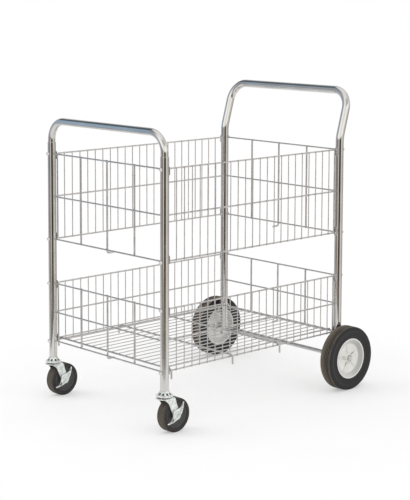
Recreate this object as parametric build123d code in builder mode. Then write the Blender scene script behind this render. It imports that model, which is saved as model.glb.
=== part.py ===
from build123d import *
import os

# A chrome wire shelf trolley. Four tube posts carry two welded wire baskets, one above
# the other. The upper one is an open band and the lower one has a wire deck. The front
# stands on two swivel casters with side brake levers, and the back on two large wheels
# on a fixed axle, below the push handle.
#
# Millimetres. +X is the right side seen from the front, +Y runs back to the handle and
# +Z is up. The origin is on the floor, below the middle of the whole trolley.

# Frame tubes
post_span_x = 524.0            # between post centres, across
post_span_y = 748.0            # between post centres, front to back
post_diameter = 25.4
post_wall = 1.5
front_post_rise = 36.0         # the front posts' tops above the upper rim
rear_post_foot = 80.0
bow_diameter = 22.2            # the front bow slips into the front posts
bow_wall = 1.5
bow_straight = 7.0             # from a post's top to the start of the bow's bend
bow_bend = 60.0
bow_insert = 60.0
handle_lean_gap = 38.0         # from the upper rim up to where the tube leans back
handle_rise = 148.0            # from there up to the centre of the bar
handle_setback = 43.2          # how far the bar stands behind the posts
handle_lean_bend = 100.0
handle_corner_bend = 60.0

# Basket wire
rail_diameter = 4.8
wire_diameter = 3.0
upright_diameter = 5.6
weld_sink = 0.5                # how far two welded wires sink into each other
upper_rim_height = 770.0
upper_basket_depth = 267.0
lower_rim_height = 363.0
lower_basket_depth = 183.0
side_wire_count = 22           # thin wires in one side panel
side_wire_end_gap = 47.45      # from a post's centre to the nearest thin wire
loop_corner_bend = 6.0
end_upright_count = 3          # uprights in one end panel
hook_drop = 10.0               # the middle upright's hook hangs this far below its rail
hook_reach = 25.0
hook_bend = 6.0

# Corner screws and their tabs
tab_thickness = 2.5
tab_side = 7.0                 # from the screw's axis to the tab's free edges
tab_tail = 18.0                # from the screw's axis along the panel's end rod
tab_corner = 3.0
screw_diameter = 5.0
screw_head_diameter = 11.0
screw_head_height = 6.8
screw_head_edge = 1.6          # height of the head's straight rim, below the dome
screw_tip = 1.5                # past the tab
screw_washer_diameter = 12.5
screw_washer_thickness = 1.2
screw_rod_gap = 0.4            # between a screw and the rod beside it
screw_hole_gap = 0.2
thread_gap = 0.05

# Wire deck
support_diameter = 5.6         # the four cross rods below the deck
support_end_gap = 1.0          # from a side panel's corner to the first cross rod
support_gap_number = 8         # the inner cross rods lie in this gap between thin wires
support_gap_share = 0.22
deck_edge_diameter = 4.8
deck_side_gap = 5.9            # between the deck and the side panels
deck_wire_count = 17
deck_overhang = 3.0            # past the first and last cross rods
stub_length = 28.0             # the cross rods' ends hang down outside the side panels
stub_bend = 8.0
stub_side_gap = 0.4
rest_gap = 0.05                # between the deck's cross rods and the rails below them

# Rear wheels and axle
rear_wheel_diameter = 203.2
rear_wheel_width = 45.0
rear_wheel_gap = 3.5           # between a post and its wheel
axle_diameter = 12.7
axle_hole_gap = 0.15
tread_edge = 7.0               # rounding where tread meets side wall
tyre_bulge_depth = 9.0         # the side wall is widest this far below the tread
tyre_waist_depth = 16.0        # and dips in from this far below the tread
tread_groove_count = 5
tread_groove_width = 2.2
tread_groove_depth = 1.6
tyre_side_recess = 2.6         # the side wall dips this much below the bead
tyre_bead_width = 6.0
tyre_fit_gap = 0.05            # between the tyre and the rim it sits on
rim_radius = 67.0
rim_seat_radius = 61.0
rim_lip_width = 5.0
rim_lip_inset = 2.2            # the lip lies this far inside the tyre's side
rim_wall = 3.0
dish_radius = 47.0
dish_depth = 10.5              # from the lip down to the dish
hub_radius = 15.0
hub_rise = 6.0                 # the hub stands this far above the dish
spoke_count = 5
spoke_width = 6.0
spoke_height = 2.4
spoke_root_radius = 18.0
spoke_end_gap = 3.0
bush_wall = 3.0
running_gap = 0.05             # radial, between a turning bore and its pin
side_play = 0.3                # along an axle, between pieces that turn
axle_washer_radius = 11.0
axle_washer_thickness = 1.5
axle_cap_radius = 9.5
axle_cap_height = 4.0
axle_cap_wall = 1.2

# Casters
caster_wheel_diameter = 101.6
caster_wheel_width = 31.7
caster_trail = 34.0
caster_tyre_edge = 5.0         # rounding where tread meets side wall
caster_tyre_bulge_depth = 7.0  # the side wall is widest this far below the tread
caster_core_radius = 37.0
caster_core_recess = 3.0
caster_hub_radius = 9.2
caster_hub_chamfer = 1.0
caster_bush_radius = 6.0
caster_bolt_diameter = 8.0
caster_bolt_head_radius = 6.5
caster_bolt_head_height = 2.0
caster_nut_radius = 7.4
caster_nut_height = 5.5
caster_nut_sides = 6
caster_bolt_tip = 1.5
fork_thickness = 2.6
fork_shoulder = 5.5
fork_side_gap = 1.4            # between the caster wheel and a fork leg
fork_wheel_gap = 3.0           # between the caster wheel and the fork's crown
fork_end_radius = 12.0
crown_radius = 26.0
ball_diameter = 5.0
ball_count = 16
ball_ring_radius = 18.5
ball_gap = 0.15
top_plate_radius = 28.5
top_plate_thickness = 2.5
top_plate_skirt = 4.5
top_plate_skirt_wall = 1.8
collar_foot_radius = 21.0
collar_knee_radius = 18.5
collar_knee_rise = 4.5
stem_diameter = 11.0
stem_length = 38.0             # inside the post
stem_chamfer = 1.1
stem_head_radius = 8.0
stem_head_height = 3.4
socket_flange = 2.0
socket_length = 40.0
socket_fit_gap = 0.1
front_post_foot = 128.0

# The fork leg's front and back edges: shares of the trail and of the leg's drop from
# the crown to the axle, from the crown down
leg_front_shares = ((-0.60, 0.0), (-0.03, 0.50), (0.30, 0.80))
leg_back_shares = ((0.72, 0.0), (0.90, 0.40), (1.16, 0.72))

# Brake levers, on the right of each caster
lever_thickness = 2.0
lever_flange = 8.0             # outer edge of the flange, from the lever's inner face
lever_arc_radius = 69.0
lever_arc_ahead = 48.5         # the arc's centre, ahead of the wheel's axle
lever_arc_above = 49.5         # and above it
lever_arc_start = -84.0        # degrees, at the lower front tip
lever_arc_end = -9.0           # degrees, at the upper rear tip
lever_middle_width = 24.0
lever_tip_width = 3.0
lever_pivot_inset = 13.0       # from the flange to the pivot
pivot_diameter = 5.0
pivot_head_radius = 4.6
pivot_head_height = 1.4
pivot_foot_radius = 3.6        # beside the caster wheel's hub
pivot_foot_height = 0.9

# Cuts
overrun = 5.0                  # how far a cut runs past what it cuts

# Worked out from the sizes above
post_radius = post_diameter / 2
rail_radius = rail_diameter / 2
wire_radius = wire_diameter / 2
upright_radius = upright_diameter / 2
support_radius = support_diameter / 2
screw_radius = screw_diameter / 2
rear_wheel_radius = rear_wheel_diameter / 2
caster_wheel_radius = caster_wheel_diameter / 2

post_x = post_span_x / 2
front_reach = top_plate_radius
rear_reach = rear_wheel_radius
front_y = (front_reach - rear_reach - post_span_y) / 2
rear_y = front_y + post_span_y

side_rail_x = post_x - screw_radius - screw_rod_gap - rail_radius
side_wire_x = side_rail_x + rail_radius + wire_radius - weld_sink
end_rod_offset = post_radius + tab_thickness + rail_radius - weld_sink / 2
side_wire_pitch = (post_span_y - 2 * side_wire_end_gap) / (side_wire_count - 1)
upright_inset = rail_radius + upright_radius - weld_sink
upper_bottom_height = upper_rim_height - upper_basket_depth
lower_bottom_height = lower_rim_height - lower_basket_depth
front_post_top = upper_rim_height + front_post_rise
bow_height = front_post_top + bow_straight + bow_bend
handle_lean_height = upper_rim_height + handle_lean_gap
handle_height = handle_lean_height + handle_rise

support_height = lower_bottom_height + rail_radius + rest_gap + support_radius
support_front_y = front_y + end_rod_offset + loop_corner_bend + support_end_gap
support_inner_offset = side_wire_end_gap + (support_gap_number - 1 + support_gap_share) * side_wire_pitch
support_places = (
    support_front_y,
    front_y + support_inner_offset,
    rear_y - support_inner_offset,
    rear_y - (support_front_y - front_y),
)

rear_wheel_x = post_x + post_radius + rear_wheel_gap + rear_wheel_width / 2
hub_half_length = rear_wheel_width / 2 - rim_lip_inset - dish_depth + hub_rise
crown_foot = caster_wheel_diameter + fork_wheel_gap
crown_top = crown_foot + fork_thickness
ball_height = crown_top + ball_gap + ball_diameter / 2
top_plate_foot = ball_height + ball_diameter / 2 + ball_gap
leg_inner_x = caster_wheel_width / 2 + fork_side_gap
leg_outer_x = leg_inner_x + fork_thickness
lever_inner_x = leg_outer_x + caster_bolt_head_height + side_play


def facing_x(x, y, z):
    """A plane across X: its first direction is +Y and its second +Z."""
    return Plane(origin=(x, y, z), x_dir=(0, 1, 0), z_dir=(1, 0, 0))


def facing_y(x, y, z):
    """A plane across Y: its first direction is +X and its second -Z."""
    return Plane(origin=(x, y, z), x_dir=(1, 0, 0), z_dir=(0, 1, 0))


def save(piece, name):
    """Labels one finished piece and writes it to its own file."""
    piece.label = name
    export_step(piece, f"parts/{name}.step")
    return piece


def rod(start, end, radius):
    """Adds a straight round rod to the part being built."""
    along = Vector(*end) - Vector(*start)
    with BuildSketch(Plane(origin=start, z_dir=along)) as section:
        Circle(radius)
    extrude(section.sketch, amount=along.length)


def bent_rod(points, bends, radius, bore=0):
    """Adds a round rod, or a tube with a bore, along straight runs and round bends."""
    with BuildLine() as route:
        FilletPolyline(*points, radius=bends)
    with BuildSketch(Plane(origin=route.line @ 0, z_dir=route.line % 0)) as section:
        Circle(radius)
        if bore:
            Circle(bore, mode=Mode.SUBTRACT)
    sweep(section.sketch, path=route.line)


def screw_heights():
    """The height of every corner screw, and which way its tab's tail points."""
    return (
        (upper_rim_height, -1),
        (upper_bottom_height, 1),
        (lower_rim_height, -1),
        (lower_bottom_height, 1),
    )


def screw_holes(x, y, heights):
    """Cuts the corner screws' holes through the tube being built."""
    for height in heights:
        with BuildSketch(facing_y(x, y - post_radius - overrun, height)) as hole:
            Circle(screw_radius + screw_hole_gap)
        extrude(hole.sketch, amount=post_diameter + 2 * overrun, mode=Mode.SUBTRACT)


# Frame tubes

def front_post(name, side):
    """A straight post, open at both ends, with a hole for each corner screw."""
    with BuildPart() as post:
        with BuildSketch(Plane.XY.offset(front_post_foot)):
            with Locations((side * post_x, front_y)):
                Circle(post_radius)
                Circle(post_radius - post_wall, mode=Mode.SUBTRACT)
        extrude(amount=front_post_top - front_post_foot)
        screw_holes(side * post_x, front_y, [height for height, _ in screw_heights()])
    return save(post.part, name)


def front_bow():
    """The low bow over the front, pushed into both front posts."""
    foot = front_post_top - bow_insert
    with BuildPart() as bow:
        bent_rod(
            (
                (post_x, front_y, foot),
                (post_x, front_y, bow_height),
                (-post_x, front_y, bow_height),
                (-post_x, front_y, foot),
            ),
            bow_bend,
            bow_diameter / 2,
            bow_diameter / 2 - bow_wall,
        )
        for side in (1, -1):
            screw_holes(side * post_x, front_y, [upper_rim_height])
    return save(bow.part, "front_bow")


def rear_handle_tube():
    """Both rear posts and the push handle, bent from one tube."""
    bar_y = rear_y + handle_setback
    with BuildPart() as tube:
        bent_rod(
            (
                (post_x, rear_y, rear_post_foot),
                (post_x, rear_y, handle_lean_height),
                (post_x, bar_y, handle_height),
                (-post_x, bar_y, handle_height),
                (-post_x, rear_y, handle_lean_height),
                (-post_x, rear_y, rear_post_foot),
            ),
            [handle_lean_bend, handle_corner_bend, handle_corner_bend, handle_lean_bend],
            post_radius,
            post_radius - post_wall,
        )
        for side in (1, -1):
            screw_holes(side * post_x, rear_y, [height for height, _ in screw_heights()])
        with BuildSketch(facing_x(-post_x - post_radius - overrun, rear_y, rear_wheel_radius)):
            Circle(axle_diameter / 2 + axle_hole_gap)
        extrude(amount=post_span_x + post_diameter + 2 * overrun, mode=Mode.SUBTRACT)
    return save(tube.part, "rear_handle_tube")


# Wire panels

def end_panel(name, y, inward, rim, bottom):
    """Three rails between two posts, with uprights on the basket's side of them."""
    half_length = post_x - post_radius
    upright_y = y + inward * upright_inset
    spacing = 2 * half_length / (end_upright_count + 1)
    with BuildPart() as panel:
        with BuildSketch(facing_x(-half_length, y, 0)):
            with Locations((0, rim), (0, (rim + bottom) / 2), (0, bottom)):
                Circle(rail_radius)
        extrude(amount=2 * half_length)
        for number in range(end_upright_count):
            x = (number + 1) * spacing - half_length
            if number == end_upright_count // 2:
                bent_rod(
                    (
                        (x, upright_y, rim + rail_radius),
                        (x, upright_y, bottom - hook_drop),
                        (x, upright_y + inward * hook_reach, bottom - hook_drop),
                    ),
                    hook_bend,
                    upright_radius,
                )
            else:
                rod((x, upright_y, rim + rail_radius), (x, upright_y, bottom - rail_radius), upright_radius)
    return save(panel.part, name)


def side_panel(name, side, rim, bottom):
    """A closed rod loop with a middle rail, thin wires outside it and four screw tabs."""
    x = side * side_rail_x
    first_y = front_y + end_rod_offset
    last_y = rear_y - end_rod_offset
    with BuildPart() as panel:
        with BuildLine(facing_x(x, 0, 0)) as loop:
            FilletPolyline(
                (first_y, bottom),
                (last_y, bottom),
                (last_y, rim),
                (first_y, rim),
                radius=loop_corner_bend,
                close=True,
            )
        with BuildSketch(Plane(origin=loop.line @ 0, z_dir=loop.line % 0)):
            Circle(rail_radius)
        sweep(path=loop.line)
        rod((x, first_y, (rim + bottom) / 2), (x, last_y, (rim + bottom) / 2), rail_radius)
        with BuildSketch(Plane.XY.offset(bottom - rail_radius)):
            for number in range(side_wire_count):
                with Locations((side * side_wire_x, front_y + side_wire_end_gap + number * side_wire_pitch)):
                    Circle(wire_radius)
        extrude(amount=rim - bottom + rail_diameter)
        for y in (front_y + post_radius, rear_y - post_radius - tab_thickness):
            for height, tail in ((rim, -1), (bottom, 1)):
                screw_tab(side, y, height, tail)
    return save(panel.part, name)


def screw_tab(side, y, height, tail):
    """Adds a flat tab that lies against a post, drilled for the corner screw."""
    inner_edge = side_rail_x - rail_radius
    outer_edge = post_x + tab_side
    with BuildSketch(facing_y(side * (inner_edge + outer_edge) / 2, y, height)) as tab:
        with Locations((0, tail * (tab_side - tab_tail) / 2)):
            RectangleRounded(outer_edge - inner_edge, tab_side + tab_tail, tab_corner)
        with Locations((side * (post_x - (inner_edge + outer_edge) / 2), 0)):
            Circle(screw_radius + thread_gap, mode=Mode.SUBTRACT)
    extrude(tab.sketch, amount=tab_thickness)


def deck_mat():
    """Long thin wires on four cross rods, whose ends hang down outside the baskets."""
    edge_radius = deck_edge_diameter / 2
    edge_x = side_rail_x - rail_radius - deck_side_gap - edge_radius
    stub_x = side_wire_x + wire_radius + stub_side_gap + support_radius
    pitch = 2 * edge_x / (deck_wire_count - 1)
    front_end = support_places[0] - support_radius - deck_overhang
    back_end = support_places[-1] + support_radius + deck_overhang
    support_top = support_height + support_radius
    with BuildPart() as mat:
        for y in support_places:
            bent_rod(
                (
                    (-stub_x, y, support_height - stub_length),
                    (-stub_x, y, support_height),
                    (stub_x, y, support_height),
                    (stub_x, y, support_height - stub_length),
                ),
                stub_bend,
                support_radius,
            )
        with BuildSketch(facing_y(0, front_end, support_top)):
            with Locations(*[(number * pitch - edge_x, weld_sink - wire_radius)
                             for number in range(1, deck_wire_count - 1)]):
                Circle(wire_radius)
            with Locations((-edge_x, weld_sink - edge_radius), (edge_x, weld_sink - edge_radius)):
                Circle(edge_radius)
        extrude(amount=back_end - front_end)
    return save(mat.part, "deck_mat")


# Corner screws

def corner_places():
    """Each corner screw's post centre and height, and the way its head faces."""
    return [
        (side * post_x, y, height, out)
        for y, out in ((front_y, -1), (rear_y, 1))
        for side in (1, -1)
        for height, _ in screw_heights()
    ]


def screw_profile(seat):
    """Half of a domed screw, drawn from its tip up, with the axis on the left."""
    tip = -seat - post_diameter - tab_thickness - screw_tip
    head_radius = screw_head_diameter / 2
    dome_rise = screw_head_height - screw_head_edge
    dome_radius = (dome_rise**2 + head_radius**2) / (2 * dome_rise)
    with BuildSketch(Plane.XZ) as profile:
        with BuildLine():
            Polyline((0, tip), (screw_radius, tip), (screw_radius, 0), (head_radius, 0))
            Line((head_radius, 0), (head_radius, screw_head_edge))
            RadiusArc((head_radius, screw_head_edge), (0, screw_head_height), -dome_radius)
            Line((0, screw_head_height), (0, tip))
        make_face()
    return profile.sketch


def corner_screws():
    """All corner screws, heads outward, threaded into the side panels' tabs."""
    seat = screw_washer_thickness
    with BuildPart(mode=Mode.PRIVATE) as single:
        revolve(screw_profile(seat), axis=Axis.Z)
    with BuildPart() as screws:
        for x, y, height, out in corner_places():
            with Locations(Plane(origin=(x, y + out * (post_radius + seat), height), z_dir=(0, out, 0))):
                add(single.part)
    return save(screws.part, "corner_screws")


def corner_washers():
    """One washer below each screw head."""
    with BuildPart() as washers:
        for x, y, height, out in corner_places():
            with BuildSketch(Plane(origin=(x, y + out * post_radius, height), z_dir=(0, out, 0))):
                Circle(screw_washer_diameter / 2)
                Circle(screw_radius + screw_hole_gap, mode=Mode.SUBTRACT)
            extrude(amount=screw_washer_thickness)
    return save(washers.part, "corner_washers")


# Rear axle and wheels

def axle_stack():
    """Distances from the middle of the trolley to each piece on the rear axle."""
    hub_outer = rear_wheel_x + hub_half_length
    washer = hub_outer + side_play
    cap = washer + axle_washer_thickness
    return hub_outer, washer, cap


def rear_axle():
    """A plain rod through both rear posts, with its end edges broken."""
    _, _, cap = axle_stack()
    half_length = cap + axle_cap_height - axle_cap_wall
    with BuildPart() as axle:
        with BuildSketch(facing_x(-half_length, rear_y, rear_wheel_radius)):
            Circle(axle_diameter / 2)
        extrude(amount=2 * half_length)
        chamfer(axle.edges().filter_by(GeomType.CIRCLE), length=axle_cap_wall / 2)
    return save(axle.part, "rear_axle")


def rear_spacers():
    """A spacer ring between each rear post and its wheel."""
    start = post_x + post_radius
    with BuildPart() as spacers:
        for side in (1, -1):
            with BuildSketch(Plane(origin=(side * start, rear_y, rear_wheel_radius), z_dir=(side, 0, 0))):
                Circle(axle_washer_radius)
                Circle(axle_diameter / 2 + running_gap, mode=Mode.SUBTRACT)
            extrude(amount=rear_wheel_x - hub_half_length - side_play - start)
    return save(spacers.part, "rear_spacers")


def rear_washers():
    """A thin washer outside each rear wheel's hub."""
    _, washer, _ = axle_stack()
    with BuildPart() as washers:
        for side in (1, -1):
            with BuildSketch(Plane(origin=(side * washer, rear_y, rear_wheel_radius), z_dir=(side, 0, 0))):
                Circle(axle_washer_radius)
                Circle(axle_diameter / 2 + running_gap, mode=Mode.SUBTRACT)
            extrude(amount=axle_washer_thickness)
    return save(washers.part, "rear_washers")


def axle_caps():
    """The domed push-on caps that hold the rear wheels on their axle."""
    _, _, cap = axle_stack()
    bore = axle_diameter / 2 + running_gap
    rim = axle_cap_height - axle_cap_wall
    with BuildPart() as caps:
        for side in (1, -1):
            base = Plane(origin=(side * cap, rear_y, rear_wheel_radius), x_dir=(0, 1, 0), z_dir=(side, 0, 0))
            with BuildSketch(base):
                Circle(axle_cap_radius)
            extrude(amount=axle_cap_height)
            with BuildSketch(base):
                Circle(bore)
            extrude(amount=rim, mode=Mode.SUBTRACT)
        outer = caps.faces().filter_by(Axis.X).sort_by(Axis.X)
        fillet(outer[-1].edges() + outer[0].edges(), radius=axle_cap_wall)
    return save(caps.part, "axle_caps")


def wheel_axis(x):
    """The line that a rear wheel turns about, seen from its own middle."""
    return Axis((x, rear_y, rear_wheel_radius), (1, 0, 0))


def wheel_plane(x, y, z):
    """A plane facing the front, for a turned piece's profile: +X first, then +Z."""
    return Plane(origin=(x, y, z), x_dir=(1, 0, 0), z_dir=(0, -1, 0))


def rear_tyre(name, side):
    """A solid rubber tyre with a grooved tread and a dipped side wall."""
    x = side * rear_wheel_x
    half = rear_wheel_width / 2
    waist = half - tyre_side_recess
    foot = half - rim_lip_inset - rim_lip_width - tyre_fit_gap
    bead_top = rim_radius + tyre_bead_width
    with BuildPart() as tyre:
        with BuildSketch(wheel_plane(x, rear_y, rear_wheel_radius)) as profile:
            with BuildLine():
                outside = [
                    (foot, rim_seat_radius + tyre_fit_gap),
                    (foot, rim_radius + tyre_fit_gap),
                    (half - rim_lip_inset, rim_radius + tyre_fit_gap),
                    (half - rim_lip_inset / 2, bead_top - tyre_bead_width / 2),
                    (waist, bead_top),
                    (waist, rear_wheel_radius - tyre_waist_depth),
                    (half, rear_wheel_radius - tyre_bulge_depth),
                    (half, rear_wheel_radius),
                ]
                inside = [(-across, out) for across, out in reversed(outside)]
                Polyline(*inside, *outside, close=True)
            make_face()
            fillet(profile.vertices().group_by(Axis.Y)[-1], radius=tread_edge)
            groove_pitch = (rear_wheel_width - 2 * tread_edge) / tread_groove_count
            for number in range(tread_groove_count):
                across = (2 * number + 1) * groove_pitch / 2 - half + tread_edge
                with Locations((across, rear_wheel_radius)):
                    Rectangle(tread_groove_width, 2 * tread_groove_depth, mode=Mode.SUBTRACT)
        revolve(axis=wheel_axis(x))
    return save(tyre.part, name)


def rear_rim(name, side):
    """A dished wheel centre with two lips, a hub and low radial ribs."""
    x = side * rear_wheel_x
    lip = rear_wheel_width / 2 - rim_lip_inset
    dish = lip - dish_depth
    bore = axle_diameter / 2 + running_gap + bush_wall
    with BuildPart() as rim:
        with BuildSketch(wheel_plane(x, rear_y, rear_wheel_radius)):
            with BuildLine():
                outside = [
                    (lip - rim_lip_width, rim_seat_radius),
                    (lip - rim_lip_width, rim_radius),
                    (lip, rim_radius),
                    (lip, rim_radius - rim_wall),
                    (lip - rim_lip_width / 2, rim_seat_radius - rim_wall),
                    (dish, dish_radius),
                    (dish, hub_radius + hub_rise / 2),
                    (dish + hub_rise, hub_radius),
                    (dish + hub_rise, bore),
                ]
                inside = [(-across, out) for across, out in reversed(outside)]
                Polyline(*inside, *outside, close=True)
            make_face()
        revolve(axis=wheel_axis(x))
        spoke_length = dish_radius - spoke_end_gap - spoke_root_radius
        for face_side in (1, -1):
            base = Plane(
                origin=(x + face_side * (dish - weld_sink), rear_y, rear_wheel_radius),
                x_dir=(0, 1, 0),
                z_dir=(face_side, 0, 0),
            )
            with BuildSketch(base):
                with PolarLocations(spoke_root_radius + spoke_length / 2, spoke_count):
                    SlotOverall(spoke_length, spoke_width)
            extrude(amount=spoke_height + weld_sink)
    return save(rim.part, name)


def rear_bush(name, side):
    """A plain bearing bush, pressed into the wheel's hub and turning on the axle."""
    start = side * rear_wheel_x - hub_half_length
    bore = axle_diameter / 2 + running_gap
    with BuildPart() as bush:
        with BuildSketch(facing_x(start, rear_y, rear_wheel_radius)):
            Circle(bore + bush_wall)
            Circle(bore, mode=Mode.SUBTRACT)
        extrude(amount=2 * hub_half_length)
    return save(bush.part, name)


# Casters: the pieces that stay with the post

def caster_stem(name, side):
    """The stem in the post, which goes on down as the kingpin and ends in a rivet head."""
    foot = crown_foot - side_play - stem_head_height
    with BuildPart() as stem:
        with BuildSketch(Plane.XY.offset(foot)):
            with Locations((side * post_x, front_y)):
                Circle(stem_head_radius)
        extrude(amount=stem_head_height)
        with BuildSketch(Plane.XY.offset(foot)):
            with Locations((side * post_x, front_y)):
                Circle(stem_diameter / 2)
        extrude(amount=front_post_foot + stem_length - foot)
        chamfer(stem.edges().filter_by(GeomType.CIRCLE).sort_by(Axis.Z)[-1], length=stem_chamfer)
    return save(stem.part, name)


def caster_socket(name, side):
    """The sleeve that fills the post's foot and grips the stem."""
    with BuildPart() as socket:
        with BuildSketch(Plane.XY.offset(front_post_foot - socket_flange)):
            with Locations((side * post_x, front_y)):
                Circle(post_radius)
        extrude(amount=socket_flange)
        with BuildSketch(Plane.XY.offset(front_post_foot)):
            with Locations((side * post_x, front_y)):
                Circle(post_radius - post_wall - socket_fit_gap)
        extrude(amount=socket_length)
        with BuildSketch(Plane.XY.offset(front_post_foot - socket_flange)):
            with Locations((side * post_x, front_y)):
                Circle(stem_diameter / 2 + running_gap)
        extrude(amount=socket_flange + socket_length, mode=Mode.SUBTRACT)
    return save(socket.part, name)


def caster_top_plate(name, side):
    """The fixed upper race: a disc with a turned-down skirt and a stepped collar."""
    x = side * post_x
    top = top_plate_foot + top_plate_thickness
    bore = stem_diameter / 2 + running_gap
    with BuildPart() as plate:
        with BuildSketch(wheel_plane(x, front_y, 0)):
            with BuildLine():
                Polyline(
                    (bore, top_plate_foot),
                    (top_plate_radius - top_plate_skirt_wall, top_plate_foot),
                    (top_plate_radius - top_plate_skirt_wall, top_plate_foot - top_plate_skirt),
                    (top_plate_radius, top_plate_foot - top_plate_skirt),
                    (top_plate_radius, top - top_plate_thickness / 2),
                    (top_plate_radius - top_plate_thickness / 2, top),
                    (collar_foot_radius, top),
                    (collar_knee_radius, top + collar_knee_rise),
                    (post_radius, front_post_foot - socket_flange),
                    (bore, front_post_foot - socket_flange),
                    close=True,
                )
            make_face()
        revolve(axis=Axis((x, front_y, 0), (0, 0, 1)))
    return save(plate.part, name)


# Casters: the pieces that swivel

def caster_balls(name, side):
    """The ring of balls between the fork's crown and the upper race."""
    with BuildPart() as balls:
        with Locations((side * post_x, front_y, ball_height)):
            with PolarLocations(ball_ring_radius, ball_count):
                Sphere(ball_diameter / 2)
    return save(balls.part, name)


def leg_points(shares):
    """Turns an edge's shares into places on the fork leg, ahead of and above the floor."""
    drop = crown_top - caster_wheel_radius
    return [(share_y * caster_trail, crown_top - share_z * drop) for share_y, share_z in shares]


def lever_pivot():
    """The brake lever's pivot, as its place on the fork leg."""
    centre, angle = lever_arc()
    reach = lever_arc_radius - lever_pivot_inset
    return centre + Vector(reach, 0).rotate(Axis.Z, angle)


def lever_arc():
    """The centre of the lever's outer arc on the fork leg, and its middle direction."""
    centre = Vector(caster_trail - lever_arc_ahead, caster_wheel_radius + lever_arc_above)
    return centre, (lever_arc_start + lever_arc_end) / 2


def caster_fork(name, side):
    """The pressed fork: a round crown with two tapering legs."""
    x = side * post_x
    front = leg_points(leg_front_shares)
    back = leg_points(leg_back_shares)
    axle = (caster_trail, caster_wheel_radius)
    pivot = lever_pivot()
    with BuildPart() as fork:
        with BuildSketch(facing_y(x, front_y - crown_radius, crown_top)):
            with Locations((0, crown_top / 2)):
                Rectangle(2 * leg_outer_x, crown_top)
        extrude(amount=caster_trail + caster_wheel_diameter)
        fillet(fork.edges().filter_by(Axis.Y).group_by(Axis.Z)[-1], radius=fork_shoulder)
        with BuildSketch(facing_y(x, front_y - crown_radius - overrun, crown_foot)) as inside:
            with Locations((0, crown_top / 2)):
                Rectangle(2 * leg_inner_x, crown_top)
            fillet(inside.vertices().group_by(Axis.Y)[0], radius=fork_shoulder - fork_thickness)
        extrude(amount=caster_trail + caster_wheel_diameter + 2 * overrun, mode=Mode.SUBTRACT)
        with BuildSketch(facing_x(x - leg_outer_x - overrun, front_y, 0)) as outline:
            with BuildLine():
                Line(front[0], back[0])
                Spline(*back, (axle[0] + fork_end_radius, axle[1]), tangents=((0, -1), (0, -1)))
                ThreePointArc(
                    (axle[0] + fork_end_radius, axle[1]),
                    (axle[0], axle[1] - fork_end_radius),
                    (axle[0] - fork_end_radius, axle[1]),
                )
                Spline((axle[0] - fork_end_radius, axle[1]), *reversed(front))
            make_face()
        extrude(amount=2 * (leg_outer_x + overrun), mode=Mode.INTERSECT)
        with BuildSketch(Plane.XY.offset(crown_foot)):
            with Locations((x, front_y)):
                Circle(crown_radius)
        extrude(amount=fork_thickness)
        with BuildSketch(Plane.XY.offset(crown_foot - overrun)):
            with Locations((x, front_y)):
                Circle(stem_diameter / 2 + running_gap)
        extrude(amount=fork_thickness + 2 * overrun, mode=Mode.SUBTRACT)
        with BuildSketch(facing_x(x - leg_outer_x - overrun, front_y, 0)):
            with Locations(axle):
                Circle(caster_bolt_diameter / 2 + running_gap)
        extrude(amount=2 * (leg_outer_x + overrun), mode=Mode.SUBTRACT)
        with BuildSketch(facing_x(x, front_y, 0)):
            with Locations((pivot.X, pivot.Y)):
                Circle(pivot_diameter / 2 + running_gap)
        extrude(amount=leg_outer_x + overrun, mode=Mode.SUBTRACT)
    return save(fork.part, name)


def caster_bolt(name, side):
    """The caster's axle bolt, with its low head on the lever's side."""
    x = side * post_x
    y = front_y + caster_trail
    end = leg_outer_x + caster_nut_height + caster_bolt_tip
    with BuildPart() as bolt:
        with BuildSketch(facing_x(x - end, y, caster_wheel_radius)):
            Circle(caster_bolt_diameter / 2)
        extrude(amount=end + leg_outer_x)
        with BuildSketch(facing_x(x + leg_outer_x, y, caster_wheel_radius)):
            Circle(caster_bolt_head_radius)
        extrude(amount=caster_bolt_head_height)
        fillet(bolt.edges().filter_by(GeomType.CIRCLE).sort_by(Axis.X)[-1], radius=caster_bolt_head_height / 2)
    return save(bolt.part, name)


def caster_nut(name, side):
    """The hexagon nut on the axle bolt's other end."""
    x = side * post_x - leg_outer_x - caster_nut_height
    with BuildPart() as nut:
        with BuildSketch(facing_x(x, front_y + caster_trail, caster_wheel_radius)):
            RegularPolygon(caster_nut_radius, caster_nut_sides)
            Circle(caster_bolt_diameter / 2 + thread_gap, mode=Mode.SUBTRACT)
        extrude(amount=caster_nut_height)
    return save(nut.part, name)


def caster_bush(name, side):
    """The sleeve between the fork legs that the caster wheel turns on."""
    x = side * post_x - leg_inner_x
    with BuildPart() as bush:
        with BuildSketch(facing_x(x, front_y + caster_trail, caster_wheel_radius)):
            Circle(caster_bush_radius)
            Circle(caster_bolt_diameter / 2 + running_gap, mode=Mode.SUBTRACT)
        extrude(amount=2 * leg_inner_x)
    return save(bush.part, name)


def brake_pivot(name, side):
    """The shouldered rivet that the brake lever turns on."""
    pivot = lever_pivot()
    centre = (side * post_x, front_y + pivot.X, pivot.Y)
    shoulder = lever_inner_x - side_play / 2
    head = lever_inner_x + lever_thickness + side_play / 2
    with BuildPart() as rivet:
        for start, end, radius in (
            (leg_inner_x - pivot_foot_height, leg_inner_x, pivot_foot_radius),
            (leg_inner_x - pivot_foot_height, head + pivot_head_height, pivot_diameter / 2),
            (leg_outer_x, shoulder, pivot_head_radius),
            (head, head + pivot_head_height, pivot_head_radius),
        ):
            with BuildSketch(facing_x(centre[0] + start, centre[1], centre[2])):
                Circle(radius)
            extrude(amount=end - start)
        fillet(rivet.edges().filter_by(GeomType.CIRCLE).sort_by(Axis.X)[-1], radius=pivot_head_height / 2)
    return save(rivet.part, name)


# Casters: the pieces that turn in the fork

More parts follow.
